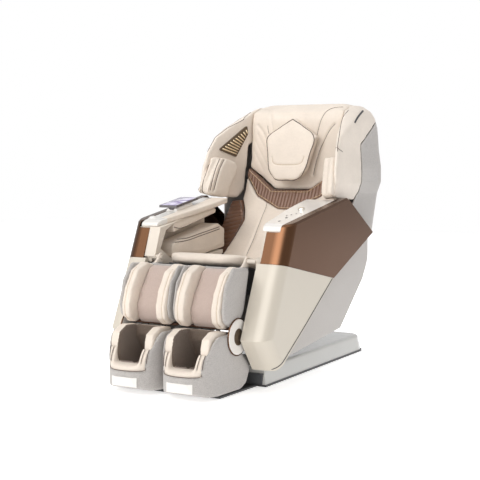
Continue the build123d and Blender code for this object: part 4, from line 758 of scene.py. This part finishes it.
# shoulder pads: seams between their lobes
airbags = pads["right_shoulder_airbag"]
AIR_LINES = [mm((-292, 30, 944), (-290, -12, 896), (-288, -42, 849), (-292, -60, 790)),
             mm((-268, 26, 936), (-272, -4, 896), (-279, -21, 848), (-286, -38, 790))]
LOBE_LINES = [mm((-329, -60, 925), (-329, -81, 870), (-329, -81, 802), (-329, -78, 775)),
             mm((-349, -50, 925), (-349, -68, 870), (-349, -68, 802), (-349, -66, 775))]


def lobe_seams(lift):
    laid = [laid_on(airbags, curve_through(line), ASLANT, lift) for line in AIR_LINES]
    return laid + [laid_on(airbags, curve_through(line), FRONT, lift) for line in LOBE_LINES]


for path in lobe_seams(0.0002):
    groove(airbags, path, 0.009, 0.007)
air_laid = lobe_seams(0.0)
for side in ("left", "right"):
    lines = on_side(side, air_laid, "right")
    tube(side + "_shoulder_seams", lines, MEDIUM, "thread", "back", 6)

# ---- speaker slats --------------------------------------------------------------------------------
grille_tree = tree_of(nodes["speaker_grilles"])
SLATS = 11
GRILLE_FRONT = ((0.054, 0.982), (0.230, 1.094))     # (y, z) ends of the grille's front edge
GRILLE_REAR = ((0.156, 0.953), (0.234, 1.064))
slats = []


def between(ends, t):
    (y0, z0), (y1, z1) = ends
    return Vector((0.0, y0 + t * (y1 - y0), z0 + t * (z1 - z0)))


for i in range(SLATS):
    t = (i + 0.5) / SLATS
    hits = []
    for p in straight_through([between(GRILLE_FRONT, t), between(GRILLE_REAR, t)], 0.01):
        hit = grille_tree.ray_cast(Vector((0.1, p.y, p.z)), Vector((1, 0, 0)), 0.4)
        if hit[0] is not None:
            hits.append(hit[0] - Vector((0.0012, 0, 0)))
    if len(hits) > 1:
        slats.append(hits)
tube("speaker_slats", slats + [flip(line) for line in slats], 0.0034, "bronze_light", "back", 6)

# ---- arm pad piping --------------------------------------------------------------------------------
arm = pads["left_arm_pads"]
ARM_LINES = [
    mm((239, -440, 640), (239, -380, 632), (239, -260, 650), (239, -120, 683)),
    mm((239, -440, 570), (239, -330, 575), (239, -220, 590), (239, -60, 612)),
    mm((239, -440, 580), (239, -330, 585), (239, -220, 600), (239, -60, 622)),
]
arm_laid = [laid_on(arm, curve_through(line), (1, 0, 0), 0.0006) for line in ARM_LINES]
for side in ("left", "right"):
    tube(side + "_arm_piping", on_side(side, arm_laid), MEDIUM, "thread", "seat", 6)

# ---- painted shade line behind the arm panels: a black tube in the gap along each panel's rear edge ---
panel_tree = tree_of(nodes["left_arm_panel"])
rear_edge = mm((390, -142, 424), (390, -390, 254), (390, -634, 96))
edge_laid = laid_on(panel_tree, straight_through(rear_edge), INWARD, 0.0002)
for side in ("left", "right"):
    tube(side + "_panel_gap_shade", on_side(side, [edge_laid]), THICK, "black_plastic", "seat", 6)
for side in ("left", "right"):
    tube(side + "_foot_seams", on_side(side, foot_lines), THIN, "thread", side + "_foot", 6)

# ---- ankle cuffs -----------------------------------------------------------------------------------
CUFF_Y, CUFF_Z = (-0.748, -0.700), (0.2565, 0.2698)
CUFF_FOLDS = 9


def squarish(value):
    """A cosine or sine bent towards a rounded square."""
    return abs(value) ** 0.5 * (1 if value > 0 else -1)


def cuff(name, x0, x1, body):
    """A short pleated cuff, rounded at its rim."""
    bm = bmesh.new()
    steps, across = 24, 40
    (y0, y1), (z0, z1) = CUFF_Y, CUFF_Z
    rings = []
    for i in range(across + 1):
        t = i / across
        x = x0 + (x1 - x0) * t
        pull = 1 - 0.03 * abs(cos(pi * CUFF_FOLDS * t)) - 0.25 * max(0.0, abs(2 * t - 1) - 0.9) * 10
        ring = []
        for k in range(steps):
            a = 2 * pi * k / steps
            y = (y0 + y1) / 2 + (y1 - y0) / 2 * squarish(cos(a)) * pull
            z = (z0 + z1) / 2 + (z1 - z0) / 2 * squarish(sin(a)) * pull
            ring.append(bm.verts.new((x, y, z)))
        rings.append(ring)
    bridged(bm, rings)
    bm.faces.new(rings[0])
    bm.faces.new(rings[-1])
    bmesh.ops.recalc_face_normals(bm, faces=bm.faces)
    placed(bm, name, "brown_leather", body)


cuff("left_ankle_cuff", 0.020, 0.244, "left_ankle")
cuff("right_ankle_cuff", -0.244, -0.020, "right_ankle")

# ---- ankle discs -----------------------------------------------------------------------------------
ANKLE_Y, ANKLE_Z = -0.730, 0.233
DISC_STEPS = 48
HUB = [(33.5, 263.0), (33.5, 265.2), (31.0, 266.0), (27.0, 265.2), (24.0, 264.6), (14.0, 264.8),
       (12.5, 265.8), (9.0, 266.2), (4.0, 265.6), (0.5, 265.2)]
RING = [(71.5, 258.6), (75.5, 259.2), (76.0, 262.0), (73.5, 263.4), (71.5, 262.8)]


def turned(name, profile, material, body, side):
    """A form turned about the ankle's axis: profile is (radius, x), in millimetres."""
    bm = bmesh.new()
    turns = [2 * pi * k / DISC_STEPS for k in range(DISC_STEPS)]
    rings = [[bm.verts.new((side * x / 1000, ANKLE_Y + radius / 1000 * cos(a), ANKLE_Z + radius / 1000 * sin(a)))
              for a in turns] for radius, x in profile]
    bridged(bm, rings)
    bm.faces.new(rings[0])
    bm.faces.new(rings[-1])
    bmesh.ops.recalc_face_normals(bm, faces=bm.faces)
    placed(bm, name, material, body)


for side, sign in (("left", 1), ("right", -1)):
    turned(side + "_disc_hub", HUB, "grille_back", side + "_foot", sign)
    turned(side + "_disc_rim", RING, "bronze", side + "_foot", sign)

# ---- tablet screen and keys -------------------------------------------------------------------
ARM_FRONT_Y, ARM_FRONT_Z = -0.538, 0.668
ARM_RISE = 97 / 543


def arm_top(y, above):
    return ARM_FRONT_Z + (y - ARM_FRONT_Y) * ARM_RISE + above


def plate(name, x0, x1, y0, y1, above, thick, corner, material, body):
    """A thin rounded plate lying on the arm's slope."""
    bm = bmesh.new()
    outline = []
    for cx, cy, a0 in ((x1 - corner, y0 + corner, -90), (x1 - corner, y1 - corner, 0),
                       (x0 + corner, y1 - corner, 90), (x0 + corner, y0 + corner, 180)):
        for k in range(7):
            a = radians(a0 + k * 15)
            outline.append((cx + corner * cos(a), cy + corner * sin(a)))
    layers = [(0.0, 0.0), (0.0, thick * 0.7), (min(corner, thick) * 0.35, thick)]
    rings = []
    mx, my = (x0 + x1) / 2, (y0 + y1) / 2
    for inset, up in layers:
        kx, ky = 1 - inset / ((x1 - x0) / 2), 1 - inset / ((y1 - y0) / 2)
        rings.append([bm.verts.new((mx + (x - mx) * kx, my + (y - my) * ky,
                                    arm_top(my + (y - my) * ky, above + up))) for x, y in outline])
    bridged(bm, rings)
    bm.faces.new(rings[0][::-1])
    bm.faces.new(rings[-1])
    bmesh.ops.recalc_face_normals(bm, faces=bm.faces)
    placed(bm, name, material, body)


# middle x and y, width and depth of each key
KEYS = [(0.300, -0.462, 0.010, 0.010), (0.300, -0.400, 0.010, 0.010), (0.282, -0.365, 0.004, 0.010),
        (0.294, -0.345, 0.004, 0.010), (0.306, -0.325, 0.004, 0.010), (0.318, -0.305, 0.004, 0.010)]
plate("tablet_screen", -0.376, -0.290, -0.346, -0.178, 0.0285, 0.0008, 0.006,
      "screen_glass", "tablet")
for k, (x, y, w, d) in enumerate(KEYS):
    plate("arm_key_%d" % (k + 1), x - w / 2, x + w / 2, y - d / 2, y + d / 2, 0.0002, 0.0012, 0.0018,
          "dark_plastic", "seat")

# ---- left arm core, slimmer behind the bronze front ---------------------------------------------------
core = add("left_arm_liner", nodes["left_arm_core"].data.copy(), M["core_gloss"], False)
core_co = coords(core.data)
NOSE_Y, NOSE_IN = -0.46, 0.284          # ahead of this y its inner side moves out to this x
toward_nose = np.clip((NOSE_Y - core_co[:, 1]) / 0.06, 0, 1)
inner = np.clip((0.300 - core_co[:, 0]) / 0.03, 0, 1)
core_co[:, 0] += toward_nose * inner * np.clip(NOSE_IN - core_co[:, 0], 0, 1)
put(core.data, core_co)
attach(core, "seat")
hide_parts("left_arm_core")

# ---- camera, floor and light -----------------------------------------------------------------
AZIMUTH, ELEVATION = radians(30.86), radians(4.10)
behind = Vector((sin(AZIMUTH) * cos(ELEVATION), -cos(AZIMUTH) * cos(ELEVATION), sin(ELEVATION)))
camera = bpy.data.objects.new("camera", bpy.data.cameras.new("camera"))
camera.data.lens = 84.6
camera.data.sensor_width = 36.0
camera.location = (2.545, -4.535, 0.937)
camera.rotation_euler = (-behind).to_track_quat("-Z", "Y").to_euler()
scene.collection.objects.link(camera)
scene.camera = camera

floor_mesh = bpy.data.meshes.new("floor")
floor_mesh.from_pydata([(-9, -9, 0), (9, -9, 0), (9, 9, 0), (-9, 9, 0)], [], [(0, 1, 2, 3)])
floor_paint = moulded("floor_paint", (0.93, 0.93, 0.93), 0.8, 0.0, 1.0)
floor_shader = floor_paint.node_tree.nodes["Principled BSDF"]
floor_shader.inputs["Emission Color"].default_value = (1.0, 1.0, 1.0, 1.0)
floor_shader.inputs["Emission Strength"].default_value = 0.50
floor = add("floor", floor_mesh, floor_paint, False)
floor.location = (0, 0, -0.0005)

world = bpy.data.worlds.new("studio")
world.use_nodes = True
world_nodes, world_links = world.node_tree.nodes, world.node_tree.links
AMBIENT = 0.66              # light from all round; the camera itself sees white
GLOW = 5.6                  # a tall soft strip ahead of the chair, seen only in reflections


def world_math(kind, a, b):
    node = world_nodes.new("ShaderNodeMath")
    node.operation = kind
    for socket, value in zip(node.inputs, (a, b)):
        if isinstance(value, (int, float)):
            socket.default_value = value
        else:
            world_links.new(value, socket)
    return node.outputs["Value"]


def world_ramp(value, low, high):
    node = world_nodes.new("ShaderNodeMapRange")
    node.interpolation_type = "SMOOTHSTEP"
    node.inputs["From Min"].default_value = low
    node.inputs["From Max"].default_value = high
    world_links.new(value, node.inputs["Value"])
    return node.outputs["Result"]


sky = world_nodes["Background"]
sky.inputs["Color"].default_value = (1.0, 1.0, 1.0, 1.0)
seen = world_nodes.new("ShaderNodeLightPath")
level = world_nodes.new("ShaderNodeMapRange")
level.inputs["To Min"].default_value = AMBIENT
level.inputs["To Max"].default_value = 1.0
world_links.new(seen.outputs["Is Camera Ray"], level.inputs["Value"])
toward = world_nodes.new("ShaderNodeSeparateXYZ")
world_links.new(world_nodes.new("ShaderNodeTexCoord").outputs["Generated"], toward.inputs["Vector"])
from_left = world_ramp(toward.outputs["X"], -1.0, 0.25)
from_right = world_ramp(toward.outputs["X"], 0.85, 0.35)
ahead = world_math("LESS_THAN", toward.outputs["Y"], -0.2)
glow = world_math("MULTIPLY", world_math("MULTIPLY", from_left, from_right), ahead)
glow = world_math("MULTIPLY", glow, seen.outputs["Is Glossy Ray"])
total = world_math("ADD", level.outputs["Result"], world_math("MULTIPLY", glow, GLOW))
world_links.new(total, sky.inputs["Strength"])
scene.world = world


def softbox(name, place, aim, size, power, colour=(1.0, 1.0, 1.0)):
    light = bpy.data.lights.new(name, "AREA")
    light.shape = "RECTANGLE"
    light.size, light.size_y = size
    light.energy = power
    light.color = colour
    obj = bpy.data.objects.new(name, light)
    obj.location = place
    obj.rotation_euler = (Vector(aim) - Vector(place)).to_track_quat("-Z", "Y").to_euler()
    scene.collection.objects.link(obj)
    return obj


key = softbox("key", (-1.6, -3.2, 2.9), (0.0, -0.2, 0.6), (1.8, 1.8), 56.0, (1.0, 0.985, 0.965))
side_light = softbox("strip", (1.5, -4.5, 1.1), (0.35, -0.55, 0.55), (0.45, 2.4), 12.0, (1.0, 0.97, 0.93))
for light in (key, side_light):
    light.visible_glossy = False
softbox("top", (0.0, 0.2, 3.4), (0.0, 0.0, 0.6), (2.4, 2.4), 22.0)
